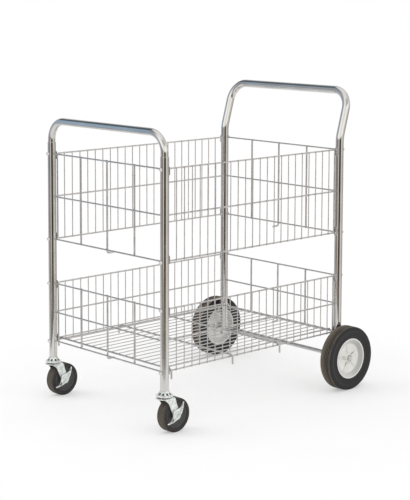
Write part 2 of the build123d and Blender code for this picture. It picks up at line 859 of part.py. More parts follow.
def caster_core(name, side):
    """The caster wheel's hard centre: a hub, a web and a ring below the tyre."""
    x = side * post_x
    y = front_y + caster_trail
    half = caster_wheel_width / 2
    web = half - caster_core_recess
    hub = leg_inner_x - side_play
    bore = caster_bush_radius + running_gap
    ring = caster_core_radius - caster_core_recess
    with BuildPart() as core:
        with BuildSketch(wheel_plane(x, y, caster_wheel_radius)):
            with BuildLine():
                outside = [
                    (half - caster_core_recess / 2, caster_core_radius),
                    (half - caster_core_recess / 2, ring),
                    (web - caster_core_recess / 2, ring - caster_core_recess),
                    (web - caster_core_recess / 2, caster_hub_radius),
                    (hub - caster_hub_chamfer, caster_hub_radius),
                    (hub, caster_hub_radius - caster_hub_chamfer),
                    (hub, bore),
                ]
                inside = [(-across, out) for across, out in reversed(outside)]
                Polyline(*inside, *outside, close=True)
            make_face()
        revolve(axis=Axis((x, y, caster_wheel_radius), (1, 0, 0)))
    return save(core.part, name)


def caster_tyre(name, side):
    """The caster's plain rubber tyre with well rounded edges."""
    x = side * post_x
    y = front_y + caster_trail
    half = caster_wheel_width / 2
    with BuildPart() as tyre:
        with BuildSketch(wheel_plane(x, y, caster_wheel_radius)) as profile:
            with BuildLine():
                outside = [
                    (half - caster_core_recess / 2, caster_core_radius),
                    (half, caster_wheel_radius - caster_tyre_bulge_depth),
                    (half, caster_wheel_radius),
                ]
                inside = [(-across, out) for across, out in reversed(outside)]
                Polyline(*inside, *outside, close=True)
            make_face()
            fillet(profile.vertices().group_by(Axis.Y)[-1], radius=caster_tyre_edge)
        revolve(axis=Axis((x, y, caster_wheel_radius), (1, 0, 0)))
    return save(tyre.part, name)


# Casters: the brake lever

def brake_lever(name, side):
    """A crescent plate with an outward flange along its back edge."""
    x = side * post_x + lever_inner_x
    centre, middle = lever_arc()
    pivot = lever_pivot()
    low = centre + Vector(lever_arc_radius, 0).rotate(Axis.Z, lever_arc_start)
    high = centre + Vector(lever_arc_radius, 0).rotate(Axis.Z, lever_arc_end)
    mid = centre + Vector(lever_arc_radius, 0).rotate(Axis.Z, middle)
    low_in = centre + Vector(lever_arc_radius - lever_tip_width, 0).rotate(Axis.Z, lever_arc_start)
    high_in = centre + Vector(lever_arc_radius - lever_tip_width, 0).rotate(Axis.Z, lever_arc_end)
    mid_in = centre + Vector(lever_arc_radius - lever_middle_width, 0).rotate(Axis.Z, middle)
    mid_flange = centre + Vector(lever_arc_radius - lever_thickness, 0).rotate(Axis.Z, middle)
    low_flange = centre + Vector(lever_arc_radius - lever_thickness, 0).rotate(Axis.Z, lever_arc_start)
    high_flange = centre + Vector(lever_arc_radius - lever_thickness, 0).rotate(Axis.Z, lever_arc_end)
    with BuildPart() as lever:
        with BuildSketch(facing_x(x, front_y, 0)):
            with BuildLine():
                ThreePointArc(low, mid, high)
                Line(high, high_in)
                ThreePointArc(high_in, mid_in, low_in)
                Line(low_in, low)
            make_face()
        extrude(amount=lever_thickness)
        with BuildSketch(facing_x(x, front_y, 0)):
            with BuildLine():
                ThreePointArc(low, mid, high)
                Line(high, high_flange)
                ThreePointArc(high_flange, mid_flange, low_flange)
                Line(low_flange, low)
            make_face()
        extrude(amount=lever_flange)
        with BuildSketch(facing_x(x - overrun, front_y, 0)):
            with Locations((pivot.X, pivot.Y)):
                Circle(pivot_diameter / 2 + running_gap)
        extrude(amount=lever_thickness + 2 * overrun, mode=Mode.SUBTRACT)
    return save(lever.part, name)


os.makedirs("parts", exist_ok=True)

front_bow()
rear_handle_tube()
end_panel("upper_front_panel", front_y, 1, upper_rim_height, upper_bottom_height)
end_panel("upper_rear_panel", rear_y, -1, upper_rim_height, upper_bottom_height)
end_panel("lower_front_panel", front_y, 1, lower_rim_height, lower_bottom_height)
end_panel("lower_rear_panel", rear_y, -1, lower_rim_height, lower_bottom_height)
deck_mat()
corner_screws()
corner_washers()
rear_axle()
rear_spacers()
rear_washers()
axle_caps()

for word, side in (("right", 1), ("left", -1)):
    front_post(f"front_post_{word}", side)
    side_panel(f"upper_side_panel_{word}", side, upper_rim_height, upper_bottom_height)
    side_panel(f"lower_side_panel_{word}", side, lower_rim_height, lower_bottom_height)
    rear_tyre(f"rear_tyre_{word}", side)
    rear_rim(f"rear_rim_{word}", side)
    rear_bush(f"rear_bush_{word}", side)
    caster_stem(f"caster_stem_{word}", side)
    caster_socket(f"caster_socket_{word}", side)
    caster_top_plate(f"caster_top_plate_{word}", side)
    caster_balls(f"caster_balls_{word}", side)
    caster_fork(f"caster_fork_{word}", side)
    caster_bolt(f"caster_bolt_{word}", side)
    caster_nut(f"caster_nut_{word}", side)
    caster_bush(f"caster_bush_{word}", side)
    brake_pivot(f"brake_pivot_{word}", side)
    caster_core(f"caster_core_{word}", side)
    caster_tyre(f"caster_tyre_{word}", side)
    brake_lever(f"brake_lever_{word}", side)
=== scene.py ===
"""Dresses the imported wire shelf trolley: smooth bent tubes, welded wire baskets, grooved
tyres, dished rims and plated casters, on a plain pale floor."""
import math

import bmesh
import bpy
from bpy.props import FloatProperty, FloatVectorProperty, IntProperty, PointerProperty
from mathutils import Matrix, Vector
from mathutils.geometry import tessellate_polygon


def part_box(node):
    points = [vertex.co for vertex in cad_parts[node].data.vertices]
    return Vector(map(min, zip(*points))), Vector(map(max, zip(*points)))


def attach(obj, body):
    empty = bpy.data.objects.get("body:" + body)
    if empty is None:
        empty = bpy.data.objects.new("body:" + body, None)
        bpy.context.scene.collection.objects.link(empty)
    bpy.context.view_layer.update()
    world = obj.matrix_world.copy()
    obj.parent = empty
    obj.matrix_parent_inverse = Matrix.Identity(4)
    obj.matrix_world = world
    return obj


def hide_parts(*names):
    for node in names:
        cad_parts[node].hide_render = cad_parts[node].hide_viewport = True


bl_info = {
    "name": "Wire Shelf Trolley",
    "version": (1, 0, 0),
    "blender": (4, 5, 0),
    "location": "View3D > Sidebar > Trolley",
    "description": "Builds the visible pieces of a chrome wire shelf trolley",
    "category": "Add Mesh",
}

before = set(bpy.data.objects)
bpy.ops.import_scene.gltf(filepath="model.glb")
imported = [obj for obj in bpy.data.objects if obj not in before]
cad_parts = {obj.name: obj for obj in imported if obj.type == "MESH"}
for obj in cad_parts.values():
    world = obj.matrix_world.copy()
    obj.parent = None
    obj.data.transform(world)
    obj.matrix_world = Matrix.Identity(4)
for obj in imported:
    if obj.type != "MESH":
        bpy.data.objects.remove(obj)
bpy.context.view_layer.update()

MM = 0.001
SIDES = (("right", 1), ("left", -1))


def low(node):
    return Vector(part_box(node)[0])


def high(node):
    return Vector(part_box(node)[1])


def middle(node):
    return (low(node) + high(node)) / 2


def span(node):
    return high(node) - low(node)


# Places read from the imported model
POST_X = middle("front_post_right").x
FRONT_Y = middle("front_post_right").y
REAR_Y = middle("rear_axle").y
POST_RADIUS = span("front_post_right").x / 2
BOW_RADIUS = span("front_bow").y / 2
BOW_HEIGHT = high("front_bow").z - BOW_RADIUS
BOW_FOOT = low("front_bow").z
HANDLE_HEIGHT = high("rear_handle_tube").z - POST_RADIUS
HANDLE_Y = high("rear_handle_tube").y - POST_RADIUS
REAR_FOOT = low("rear_handle_tube").z
REAR_WHEEL = middle("rear_tyre_right")
REAR_WHEEL_RADIUS = span("rear_tyre_right").z / 2
REAR_WHEEL_WIDTH = span("rear_tyre_right").x
CASTER_WHEEL = middle("caster_tyre_right")
CASTER_WHEEL_RADIUS = span("caster_tyre_right").z / 2
CASTER_WHEEL_WIDTH = span("caster_tyre_right").x
AXLE_RADIUS = span("rear_axle").z / 2

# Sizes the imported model's boxes don't give
RAIL_RADIUS = 2.4 * MM
WIRE_RADIUS = 1.5 * MM
UPRIGHT_RADIUS = 2.8 * MM
DECK_EDGE_RADIUS = 2.4 * MM
SUPPORT_RADIUS = 2.8 * MM
WELD_SINK = 0.5 * MM
TUBE_WALL = 1.5 * MM
TUBE_EDGE = 0.5 * MM
TUBE_BEND_STEPS = 16
FIT_GAP = 0.05 * MM
SIDE_WIRE_COUNT = 22
SIDE_WIRE_END_GAP = 47.45 * MM
END_UPRIGHT_COUNT = 3
DECK_WIRE_COUNT = 17
LEG_OUTER = 19.85 * MM
COLLAR_LOBES = 9
COLLAR_SEGMENTS = 144
LOBE_DEPTH = 2.4 * MM
LOBE_HOLLOW_SHARE = 0.55
# The legs' edges, as shares of the trail and of the height from the axle to the crown
LEG_FRONT_SHARES = ((-0.50, 1.0), (-0.42, 0.915), (-0.20, 0.84), (0.0, 0.70), (0.15, 0.50), (0.36, 0.23),
                    (0.62, -0.10))
LEG_BACK_SHARES = ((0.70, 1.0), (0.76, 0.90), (0.90, 0.60), (1.16, 0.28), (1.30, -0.10))
LEVER_THICKNESS = 2 * MM
LEVER_RADIUS = 69 * MM
LEVER_CENTRE = (-14.5 * MM, 100.3 * MM)
LEVER_TURN = (-84, -9)
LEVER_WIDTHS = (3 * MM, 24 * MM)
TREAD_GROOVE_COUNT = 4
RIB_COUNT = 5
RIB_TURN = math.radians(27)
UNSHADED_RIBS = (1, 4)
RIDGE_START = 12 * MM
RIDGE_PITCH = 6 * MM
HOOK_DROP = 10 * MM
HOOK_REACH = 25 * MM
HOOK_BEND = 6 * MM
BOW_BEND = 60 * MM
HANDLE_LEAN_HEIGHT = 808 * MM
HANDLE_LEAN_BEND = 100 * MM
HANDLE_CORNER_BEND = 60 * MM
LOOP_CORNER_BEND = 6 * MM
STUB_BEND = 8 * MM
TAB_THICKNESS = 2.5 * MM
TAB_SIDE = 7 * MM
TAB_TAIL = 18 * MM
TAB_CORNER = 3 * MM
WASHER_RADIUS = 6.25 * MM
WASHER_THICKNESS = 1.2 * MM
SCREW_RADIUS = 2.5 * MM
SCREW_HEAD_RADIUS = 5.5 * MM
SCREW_HEAD_HEIGHT = 6.8 * MM
SCREW_HEAD_EDGE = 1.6 * MM
CASTER_CORE_RADIUS = 37 * MM

# Each basket's rim and bottom rails, which the screw tabs of the side panels reach past
UPPER_RAILS = (high("upper_side_panel_right").z - TAB_SIDE, low("upper_side_panel_right").z + TAB_SIDE)
LOWER_RAILS = (high("lower_side_panel_right").z - TAB_SIDE, low("lower_side_panel_right").z + TAB_SIDE)
SIDE_RAIL_X = low("upper_side_panel_right").x + RAIL_RADIUS
SIDE_WIRE_X = SIDE_RAIL_X + RAIL_RADIUS + WIRE_RADIUS - WELD_SINK
LOOP_OFFSET = POST_RADIUS + TAB_THICKNESS + RAIL_RADIUS - WELD_SINK / 2


class TrolleySizes(bpy.types.PropertyGroup):
    """Sizes that a user may change."""
    post_radius: FloatProperty(
        name="Post radius", description="Outside radius of the posts and the push handle",
        default=POST_RADIUS, min=0.005, max=0.03, unit="LENGTH")
    bow_radius: FloatProperty(
        name="Bow radius", description="Outside radius of the front bow",
        default=BOW_RADIUS, min=0.005, max=0.03, unit="LENGTH")
    rail_radius: FloatProperty(
        name="Rail radius", description="Radius of the basket rails",
        default=RAIL_RADIUS, min=0.0005, max=0.01, unit="LENGTH")
    wire_radius: FloatProperty(
        name="Wire radius", description="Radius of the thin basket and deck wires",
        default=WIRE_RADIUS, min=0.0005, max=0.01, unit="LENGTH")
    upright_radius: FloatProperty(
        name="Upright radius", description="Radius of the uprights in the end panels",
        default=UPRIGHT_RADIUS, min=0.0005, max=0.01, unit="LENGTH")
    weld_radius: FloatProperty(
        name="Weld radius", description="Radius of the bead at each wire crossing",
        default=2.1 * MM, min=0.0, max=0.01, unit="LENGTH")
    edge_break: FloatProperty(
        name="Edge break", description="Rounding on pressed steel edges",
        default=0.35 * MM, min=0.0, max=0.002, unit="LENGTH")
    tube_segments: IntProperty(
        name="Tube segments", description="Faces around each tube", default=48, min=12, max=96)
    wire_segments: IntProperty(
        name="Wire segments", description="Faces around each wire", default=14, min=6, max=32)
    wheel_segments: IntProperty(
        name="Wheel segments", description="Faces around each wheel", default=144, min=32, max=256)


class TrolleyFinishes(bpy.types.PropertyGroup):
    """Colours that a user may change."""
    chrome: FloatVectorProperty(
        name="Chrome", description="Plating on the posts, bow and push handle",
        subtype="COLOR", size=3, default=(0.64, 0.63, 0.61), min=0, max=1)
    wire: FloatVectorProperty(
        name="Wire plating", description="Plating on the baskets and the deck",
        subtype="COLOR", size=3, default=(0.60, 0.585, 0.575), min=0, max=1)
    screw: FloatVectorProperty(
        name="Screw plating", description="Plating on the screws, caster bolts, nuts and rivets",
        subtype="COLOR", size=3, default=(0.76, 0.755, 0.745), min=0, max=1)
    pressed: FloatVectorProperty(
        name="Pressed zinc", description="Plating on the caster forks and brake levers",
        subtype="COLOR", size=3, default=(0.82, 0.86, 0.83), min=0, max=1)
    caster_rubber: FloatVectorProperty(
        name="Caster rubber", description="Rubber of the caster tyres",
        subtype="COLOR", size=3, default=(0.024, 0.021, 0.021), min=0, max=1)
    tyre_rubber: FloatVectorProperty(
        name="Tyre rubber", description="Rubber of the large rear tyres",
        subtype="COLOR", size=3, default=(0.015, 0.0142, 0.0155), min=0, max=1)
    tread_dust: FloatVectorProperty(
        name="Tread dust", description="Dust and wear on all treads",
        subtype="COLOR", size=3, default=(0.115, 0.095, 0.072), min=0, max=1)
    rim: FloatVectorProperty(
        name="Rim", description="Moulded plastic of the rear wheel centres",
        subtype="COLOR", size=3, default=(0.76, 0.755, 0.72), min=0, max=1)
    floor: FloatVectorProperty(
        name="Floor", description="The plain pale floor",
        subtype="COLOR", size=3, default=(0.94, 0.94, 0.94), min=0, max=1)


# Shapes

class Shape:
    """Gathers vertices and faces, and turns them into one smooth piece."""

    def __init__(self):
        self.verts = []
        self.faces = []
        self.slots = []

    def add(self, verts, faces, slot=0):
        """Adds vertices, and faces that count from the first of them."""
        start = len(self.verts)
        self.verts.extend(Vector(vert) for vert in verts)
        self.faces.extend([start + number for number in face] for face in faces)
        self.slots.extend([slot] * len(faces))

    def piece(self, name, body, materials, replaced, slot_name, sharp=40.0):
        """Makes the object, rides it on its body and lets it stand for CAD nodes."""
        mesh = bpy.data.meshes.new(name)
        mesh.from_pydata([tuple(vert) for vert in self.verts], [], self.faces)
        mesh.polygons.foreach_set("material_index", self.slots)
        mesh.validate()
        work = bmesh_of(mesh)
        work.to_mesh(mesh)
        work.free()
        mesh.polygons.foreach_set("use_smooth", [True] * len(mesh.polygons))
        mesh.set_sharp_from_angle(angle=math.radians(sharp))
        for material in materials:
            mesh.materials.append(material)
        item = bpy.data.objects.new(name, mesh)
        bpy.context.scene.collection.objects.link(item)
        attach(item, body)
        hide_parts(*replaced)
        return item


def bmesh_of(mesh):
    """A working copy of a mesh with all its faces turned outward."""
    work = bmesh.new()
    work.from_mesh(mesh)
    bmesh.ops.recalc_face_normals(work, faces=work.faces)
    return work


def bent_route(points, bends, steps=10, closed=False):
    """Stations (place, direction) along straight runs and round bends."""
    points = [Vector(point) for point in points]
    count = len(points)
    corners = range(count) if closed else range(1, count - 1)
    if not isinstance(bends, (list, tuple)):
        bends = [bends] * len(corners)
    stations = []
    if not closed:
        stations.append((points[0], (points[1] - points[0]).normalized()))
    for corner, bend in zip(corners, bends):
        point = points[corner]
        coming = (point - points[corner - 1]).normalized()
        going = (points[(corner + 1) % count] - point).normalized()
        turn = coming.angle(going)
        reach = bend * math.tan(turn / 2)
        start = point - coming * reach
        inward = (going - coming * coming.dot(going)).normalized()
        for step in range(steps + 1):
            angle = turn * step / steps
            place = start + coming * bend * math.sin(angle) + inward * bend * (1 - math.cos(angle))
            stations.append((place, coming * math.cos(angle) + inward * math.sin(angle)))
    if not closed:
        stations.append((points[-1], (points[-1] - points[-2]).normalized()))
    return stations


def mirrored(route):
    """One half of a route, carried on over the middle as its mirror image."""
    return [*route, *((-x, y, z) for x, y, z in reversed(route))]


def carried_frames(stations):
    """Two directions across the route at each station, carried along without twist."""
    across = stations[0][1].orthogonal().normalized()
    before = stations[0][1]
    frames = []
    for _, along in stations:
        across = before.rotation_difference(along) @ across
        across = (across - along * across.dot(along)).normalized()
        frames.append((across.copy(), along.cross(across)))
        before = along
    return frames


def skin(rings, count, closed=False, capped=True):
    """Faces that join rings of points in order, with flat ends unless the rings close."""
    faces = []
    pairs = len(rings) if closed else len(rings) - 1
    for number in range(pairs):
        first = rings[number]
        second = rings[(number + 1) % len(rings)]
        for step in range(count):
            turn = (step + 1) % count
            faces.append([first[step], first[turn], second[turn], second[step]])
    if capped and not closed:
        faces.append(list(reversed(rings[0])))
        faces.append(list(rings[-1]))
    return faces


def sweep(shape, stations, radius, segments, edge=0.0, bore=0.0, closed=False, slot=0):
    """A round rod, or a tube with a bore, along stations, with broken end edges."""
    stations = list(stations)
    if edge and not closed:
        (start, out), (end, on) = stations[0], stations[-1]
        stations[0] = (start + out * edge, out)
        stations[-1] = (end - on * edge, on)
        stations.insert(0, (start, out))
        stations.append((end, on))
    frames = carried_frames(stations)
    last = len(stations) - 1
    order = [(number, radius - (edge if edge and number in (0, last) and not closed else 0))
             for number in range(len(stations))]
    if bore:
        order += [(number, bore) for number in range(last, -1, -1)]
    verts, rings = [], []
    for number, reach in order:
        place = stations[number][0]
        across, up = frames[number]
        rings.append(range(len(verts), len(verts) + segments))
        for step in range(segments):
            angle = math.tau * step / segments
            verts.append(place + (across * math.cos(angle) + up * math.sin(angle)) * reach)
    shape.add(verts, skin([list(ring) for ring in rings], segments, closed=closed or bool(bore)), slot)


def rod(shape, start, end, radius, segments, slot=0):
    """A straight round rod with slightly broken end edges."""
    along = (Vector(end) - Vector(start)).normalized()
    sweep(shape, [(Vector(start), along), (Vector(end), along)], radius, segments,
          edge=radius / 6, slot=slot)


def weld(shape, place, first, second, normal, size, number, slot=1):
    """A small squeezed bead where two wires cross, stretched a little along the first."""
    segments, levels = 10, 5
    swell = 1 + 0.14 * math.sin(number * 2.7) + 0.08 * math.sin(number * 7.3)
    first, second, normal = Vector(first), Vector(second), Vector(normal)
    verts = [place + normal * size * 0.62 * swell]
    for level in range(1, levels):
        tilt = math.pi * level / levels
        for step in range(segments):
            angle = math.tau * step / segments
            verts.append(place
                         + first * math.cos(angle) * math.sin(tilt) * size * 1.15 * swell
                         + second * math.sin(angle) * math.sin(tilt) * size * swell
                         + normal * math.cos(tilt) * size * 0.62 * swell)
    verts.append(place - normal * size * 0.62 * swell)
    faces = [[0, 1 + step, 1 + (step + 1) % segments] for step in range(segments)]
    for level in range(levels - 2):
        base = 1 + level * segments
        for step in range(segments):
            turn = (step + 1) % segments
            faces.append([base + step, base + segments + step, base + segments + turn, base + turn])
    tip = len(verts) - 1
    base = tip - segments
    faces += [[tip, base + (step + 1) % segments, base + step] for step in range(segments)]
    shape.add(verts, faces, slot)


def rounded(points, radii, steps=4, closed=True):
    """A profile's corners rounded off, each with its own radius or one for all."""
    points = [Vector(point) for point in points]
    count = len(points)
    if not isinstance(radii, (list, tuple)):
        radii = [radii] * count
    result = []
    for number, (point, radius) in enumerate(zip(points, radii)):
        if not closed and number in (0, count - 1) or radius <= 0:
            result.append(point)
            continue
        before = points[number - 1] - point
        after = points[(number + 1) % count] - point
        turn = math.pi - before.angle(after)
        if turn < 0.02:
            result.append(point)
            continue
        reach = radius * math.tan(turn / 2)
        reach = min(reach, 0.48 * before.length, 0.48 * after.length)
        radius = reach / math.tan(turn / 2)
        start = point + before.normalized() * reach
        coming = -before.normalized()
        going = after.normalized()
        inward = (going - coming * coming.dot(going)).normalized()
        for step in range(steps + 1):
            angle = turn * step / steps
            result.append(start + coming * radius * math.sin(angle)
                          + inward * radius * (1 - math.cos(angle)))
    return result


def lathe(shape, profile, centre, axis, segments, slot=0, ripple=None):
    """A closed profile of (along, out) points turned about an axis."""
    axis = Vector(axis).normalized()
    across = axis.orthogonal().normalized()
    up = axis.cross(across)
    centre = Vector(centre)
    verts, rings = [], []
    for number, (along, out) in enumerate(profile):
        if out < 1e-7:
            rings.append([len(verts)] * segments)
            verts.append(centre + axis * along)
            continue
        rings.append(list(range(len(verts), len(verts) + segments)))
        for step in range(segments):
            angle = math.tau * step / segments
            reach = out + (ripple(number, angle) if ripple else 0)
            verts.append(centre + axis * along + (across * math.cos(angle) + up * math.sin(angle)) * reach)
    faces = []
    for face in skin(rings, segments, closed=True):
        face = [vert for place, vert in enumerate(face) if vert != face[place - 1]]
        if len(face) > 2:
            faces.append(face)
    shape.add(verts, faces, slot)


def inset(loop, reach):
    """A closed outline moved inward by a small reach."""
    count = len(loop)
    moved = []
    for number, point in enumerate(loop):
        coming = (point - loop[number - 1]).normalized()
        going = (loop[(number + 1) % count] - point).normalized()
        inward = Vector((-coming.y - going.y, coming.x + going.x))
        if inward.length < 1e-6:
            inward = Vector((-coming.y, coming.x))
        inward.normalize()
        lean = max(0.4, inward.dot(Vector((-coming.y, coming.x))))
        moved.append(point + inward * reach / lean)
    return moved


def plate(shape, outline, holes, thickness, edge, place, slot=0):
    """A flat plate with broken edges: an outline with holes, both running with the metal
    on their left, pushed along the placing matrix's third direction."""
    loops = [[Vector(point) for point in loop] for loop in (outline, *holes)]
    levels = ((0.0, edge), (edge, 0.0), (thickness - edge, 0.0), (thickness, edge))
    verts, faces, starts = [], [], []
    for loop in loops:
        starts.append(len(verts))
        for height, reach in levels:
            verts.extend(place @ Vector((point.x, point.y, height)) for point in inset(loop, reach))
        count = len(loop)
        for level in range(len(levels) - 1):
            first = starts[-1] + level * count
            second = first + count
            for step in range(count):
                turn = (step + 1) % count
                faces.append([first + step, first + turn, second + turn, second + step])
    flat = [[Vector((point.x, point.y, 0)) for point in inset(loop, edge)] for loop in loops]
    numbers = [(loop, step) for loop, points in enumerate(loops) for step in range(len(points))]
    for triangle in tessellate_polygon(flat):
        for level in (0, len(levels) - 1):
            corners = []
            for number in triangle:
                loop, step = numbers[number]
                corners.append(starts[loop] + level * len(loops[loop]) + step)
            faces.append(corners)
    shape.add(verts, faces, slot)


def circle_points(centre, radius, count, clockwise=False):
    turn = -1 if clockwise else 1
    return [Vector((centre[0] + radius * math.cos(turn * math.tau * step / count),
                    centre[1] + radius * math.sin(turn * math.tau * step / count)))
            for step in range(count)]


def place_at(line, height):
    """How far along a line of (across, height) points is at a height, with its ends carried on."""
    line = sorted(line, key=lambda point: point[1])
    for first, second in zip(line, line[1:]):
        if height <= second[1]:
            break
    share = (height - first[1]) / (second[1] - first[1])
    return first[0] + (second[0] - first[0]) * share


def placing(origin, first, second):
    """A matrix whose first two directions are given, with its origin."""
    first, second = Vector(first), Vector(second)
    third = first.cross(second)
    matrix = Matrix((first, second, third)).transposed().to_4x4()
    matrix.translation = Vector(origin)
    return matrix


# Materials

class Graph:
    """Shader nodes being joined up in one node tree."""

    def __init__(self, tree):
        self.nodes = tree.nodes
        self.links = tree.links

    def give(self, socket, value):
        """Links an output to a socket, or sets the socket to a number or a colour."""
        if isinstance(value, bpy.types.NodeSocket):
            self.links.new(value, socket)
        elif isinstance(value, tuple):
            socket.default_value = (*value, 1)
        else:
            socket.default_value = value

    def maths(self, operation, first, second=0.0):
        node = self.nodes.new("ShaderNodeMath")
        node.operation = operation
        self.give(node.inputs[0], first)
        self.give(node.inputs[1], second)
        return node.outputs[0]

    def product(self, first, *others):
        """Values multiplied together."""
        for other in others:
            first = self.maths("MULTIPLY", first, other)
        return first

    def ranged(self, value, start, end, to_start=0.0, to_end=1.0):
        """A value carried from one range into another and held at its ends."""
        node = self.nodes.new("ShaderNodeMapRange")
        node.inputs["From Min"].default_value = start
        node.inputs["From Max"].default_value = end
        node.inputs["To Min"].default_value = to_start
        node.inputs["To Max"].default_value = to_end
        self.links.new(value, node.inputs["Value"])
        return node.outputs["Result"]

    def band(self, value, start, full, fading, end):
        """1 from full to fading, and 0 before the start and after the end."""
        return self.product(self.ranged(value, start, full), self.ranged(value, end, fading))

    def mixed(self, factor, first, second):
        """Two colours blended by a factor."""
        node = self.nodes.new("ShaderNodeMix")
        node.data_type = "RGBA"
        self.links.new(factor, node.inputs["Factor"])
        sockets = [item for item in node.inputs if item.type == "RGBA"]
        for socket, value in zip(sockets, (first, second)):
            self.give(socket, value)
        return next(item for item in node.outputs if item.type == "RGBA")

    def tinted(self, value, start, end, first, second):
        """Two colours blended as a value goes from a start to an end."""
        return self.mixed(self.ranged(value, start, end), first, second)

    def combined(self, x, y=0.0, z=0.0):
        """A vector made of single values."""
        node = self.nodes.new("ShaderNodeCombineXYZ")
        for socket, value in zip(node.inputs, (x, y, z)):
            self.give(socket, value)
        return node.outputs["Vector"]

    def length(self, vector):
        """How long a vector is."""
        node = self.nodes.new("ShaderNodeVectorMath")
        node.operation = "LENGTH"
        self.links.new(vector, node.inputs[0])
        return node.outputs["Value"]

    def reach_along(self, vector, direction):
        """How far a vector goes in one direction."""
        node = self.nodes.new("ShaderNodeVectorMath")
        node.operation = "DOT_PRODUCT"
        self.links.new(vector, node.inputs[0])
        node.inputs[1].default_value = direction
        return node.outputs["Value"]


class Finish(Graph):
    """A material being made: its shader, and the nodes that feed it."""

    def __init__(self, name, color, metallic, roughness):
        self.material = bpy.data.materials.new(name)
        self.material.use_nodes = True
        super().__init__(self.material.node_tree)
        self.shader = self.nodes["Principled BSDF"]
        self.shader.inputs["Base Color"].default_value = (*color, 1)
        self.shader.inputs["Metallic"].default_value = metallic
        self.shader.inputs["Roughness"].default_value = roughness
        self.place = self.nodes.new("ShaderNodeTexCoord").outputs["Object"]

    def stretched(self, scale):
        """Object coordinates scaled by a different amount along each axis."""
        mapping = self.nodes.new("ShaderNodeMapping")
        mapping.inputs["Scale"].default_value = scale
        self.links.new(self.place, mapping.inputs["Vector"])
        return mapping.outputs["Vector"]

    def coordinates(self):
        """The object's X, Y and Z as single values."""
        node = self.nodes.new("ShaderNodeSeparateXYZ")
        self.links.new(self.place, node.inputs["Vector"])
        return node.outputs["X"], node.outputs["Y"], node.outputs["Z"]

    def radius_from(self, centre):
        """Distance from a wheel's axle, which runs along X."""
        mapping = self.nodes.new("ShaderNodeMapping")
        mapping.inputs["Location"].default_value = (0, -centre.y, -centre.z)
        mapping.inputs["Scale"].default_value = (0, 1, 1)
        self.links.new(self.place, mapping.inputs["Vector"])
        return self.length(mapping.outputs["Vector"])

    def noise(self, scale, detail=3.0, place=None, roughness=0.55):
        node = self.nodes.new("ShaderNodeTexNoise")
        node.inputs["Scale"].default_value = scale
        node.inputs["Detail"].default_value = detail
        node.inputs["Roughness"].default_value = roughness
        self.links.new(place or self.place, node.inputs["Vector"])
        return node.outputs["Fac"]

    def cells(self, scale):
        """Distance from the middle of the nearest cell."""
        node = self.nodes.new("ShaderNodeTexVoronoi")
        node.feature = "F1"
        node.inputs["Scale"].default_value = scale
        self.links.new(self.place, node.inputs["Vector"])
        return node.outputs["Distance"]

    def bump(self, height, strength, distance):
        node = self.nodes.new("ShaderNodeBump")
        node.inputs["Strength"].default_value = strength
        node.inputs["Distance"].default_value = distance
        self.links.new(height, node.inputs["Height"])
        self.links.new(node.outputs["Normal"], self.shader.inputs["Normal"])

    def feed(self, socket, value):
        self.links.new(value, self.shader.inputs[socket])


def shade(color, factor):
    """A colour made lighter or darker."""
    return tuple(min(1.0, part * factor) for part in color)


def chrome_plating(color):
    """Polished plating with faint haze, fine rubbing marks and tiny pits."""
    finish = Finish("chrome_plating", color, 1.0, 0.09)
    haze = finish.noise(14, 4)
    rubbing = finish.noise(1, 2, finish.stretched((900, 900, 45)))
    pits = finish.cells(420)
    spots = finish.ranged(pits, 0.05, 0.12)
    tone = finish.tinted(haze, 0.35, 0.7, shade(color, 0.93), shade(color, 1.04))
    finish.feed("Base Color", finish.mixed(spots, shade(color, 0.55), tone))
    rough = finish.maths("ADD", finish.ranged(haze, 0.3, 0.75, 0.045, 0.12),
                         finish.ranged(rubbing, 0.4, 0.75, 0.0, 0.07))
    finish.feed("Roughness", rough)
    finish.bump(rubbing, 0.04, 0.0002)
    return finish.material


def wire_plating(color):
    """Bright plating over drawn wire, a little duller and more uneven than the tubes."""
    finish = Finish("wire_plating", color, 1.0, 0.2)
    patches = finish.noise(30, 4)
    grain = finish.noise(1400, 2)
    finish.feed("Base Color", finish.tinted(patches, 0.35, 0.68, shade(color, 0.86), shade(color, 1.05)))
    finish.feed("Roughness", finish.maths("ADD", finish.ranged(patches, 0.3, 0.7, 0.27, 0.38),
                                          finish.ranged(grain, 0.3, 0.7, 0.0, 0.06)))
    finish.bump(grain, 0.08, 0.0002)
    return finish.material


def weld_plating(color):
    """Plating over a spot weld: duller, darker and lumpy."""
    finish = Finish("weld_plating", color, 1.0, 0.34)
    lumps = finish.noise(900, 3)
    finish.feed("Base Color", finish.tinted(lumps, 0.35, 0.65, shade(color, 0.62), shade(color, 0.92)))
    finish.feed("Roughness", finish.ranged(lumps, 0.3, 0.7, 0.26, 0.45))
    finish.bump(lumps, 0.35, 0.0004)
    return finish.material


def screw_plating(color):
    """Bright small fasteners with a satin dome."""
    finish = Finish("screw_plating", color, 1.0, 0.22)
    grain = finish.noise(1800, 2)
    finish.feed("Base Color", finish.tinted(grain, 0.35, 0.65, shade(color, 0.85), shade(color, 1.1)))
    finish.feed("Roughness", finish.ranged(grain, 0.3, 0.7, 0.16, 0.28))
    finish.bump(grain, 0.06, 0.0002)
    return finish.material


def painted_highlight_zinc(color):
    """A lighter copy of pressed zinc, as painted highlight along rims and flanges, with a mottle."""
    finish = Finish("painted_highlight_zinc", color, 0.45, 0.3)
    highlight_mottle = finish.noise(160, 4)
    finish.feed("Base Color", finish.tinted(highlight_mottle, 0.35, 0.62, shade(color, 0.82), shade(color, 1.15)))
    finish.feed("Roughness", finish.ranged(highlight_mottle, 0.3, 0.7, 0.22, 0.38))
    finish.bump(highlight_mottle, 0.08, 0.0003)
    return finish.material


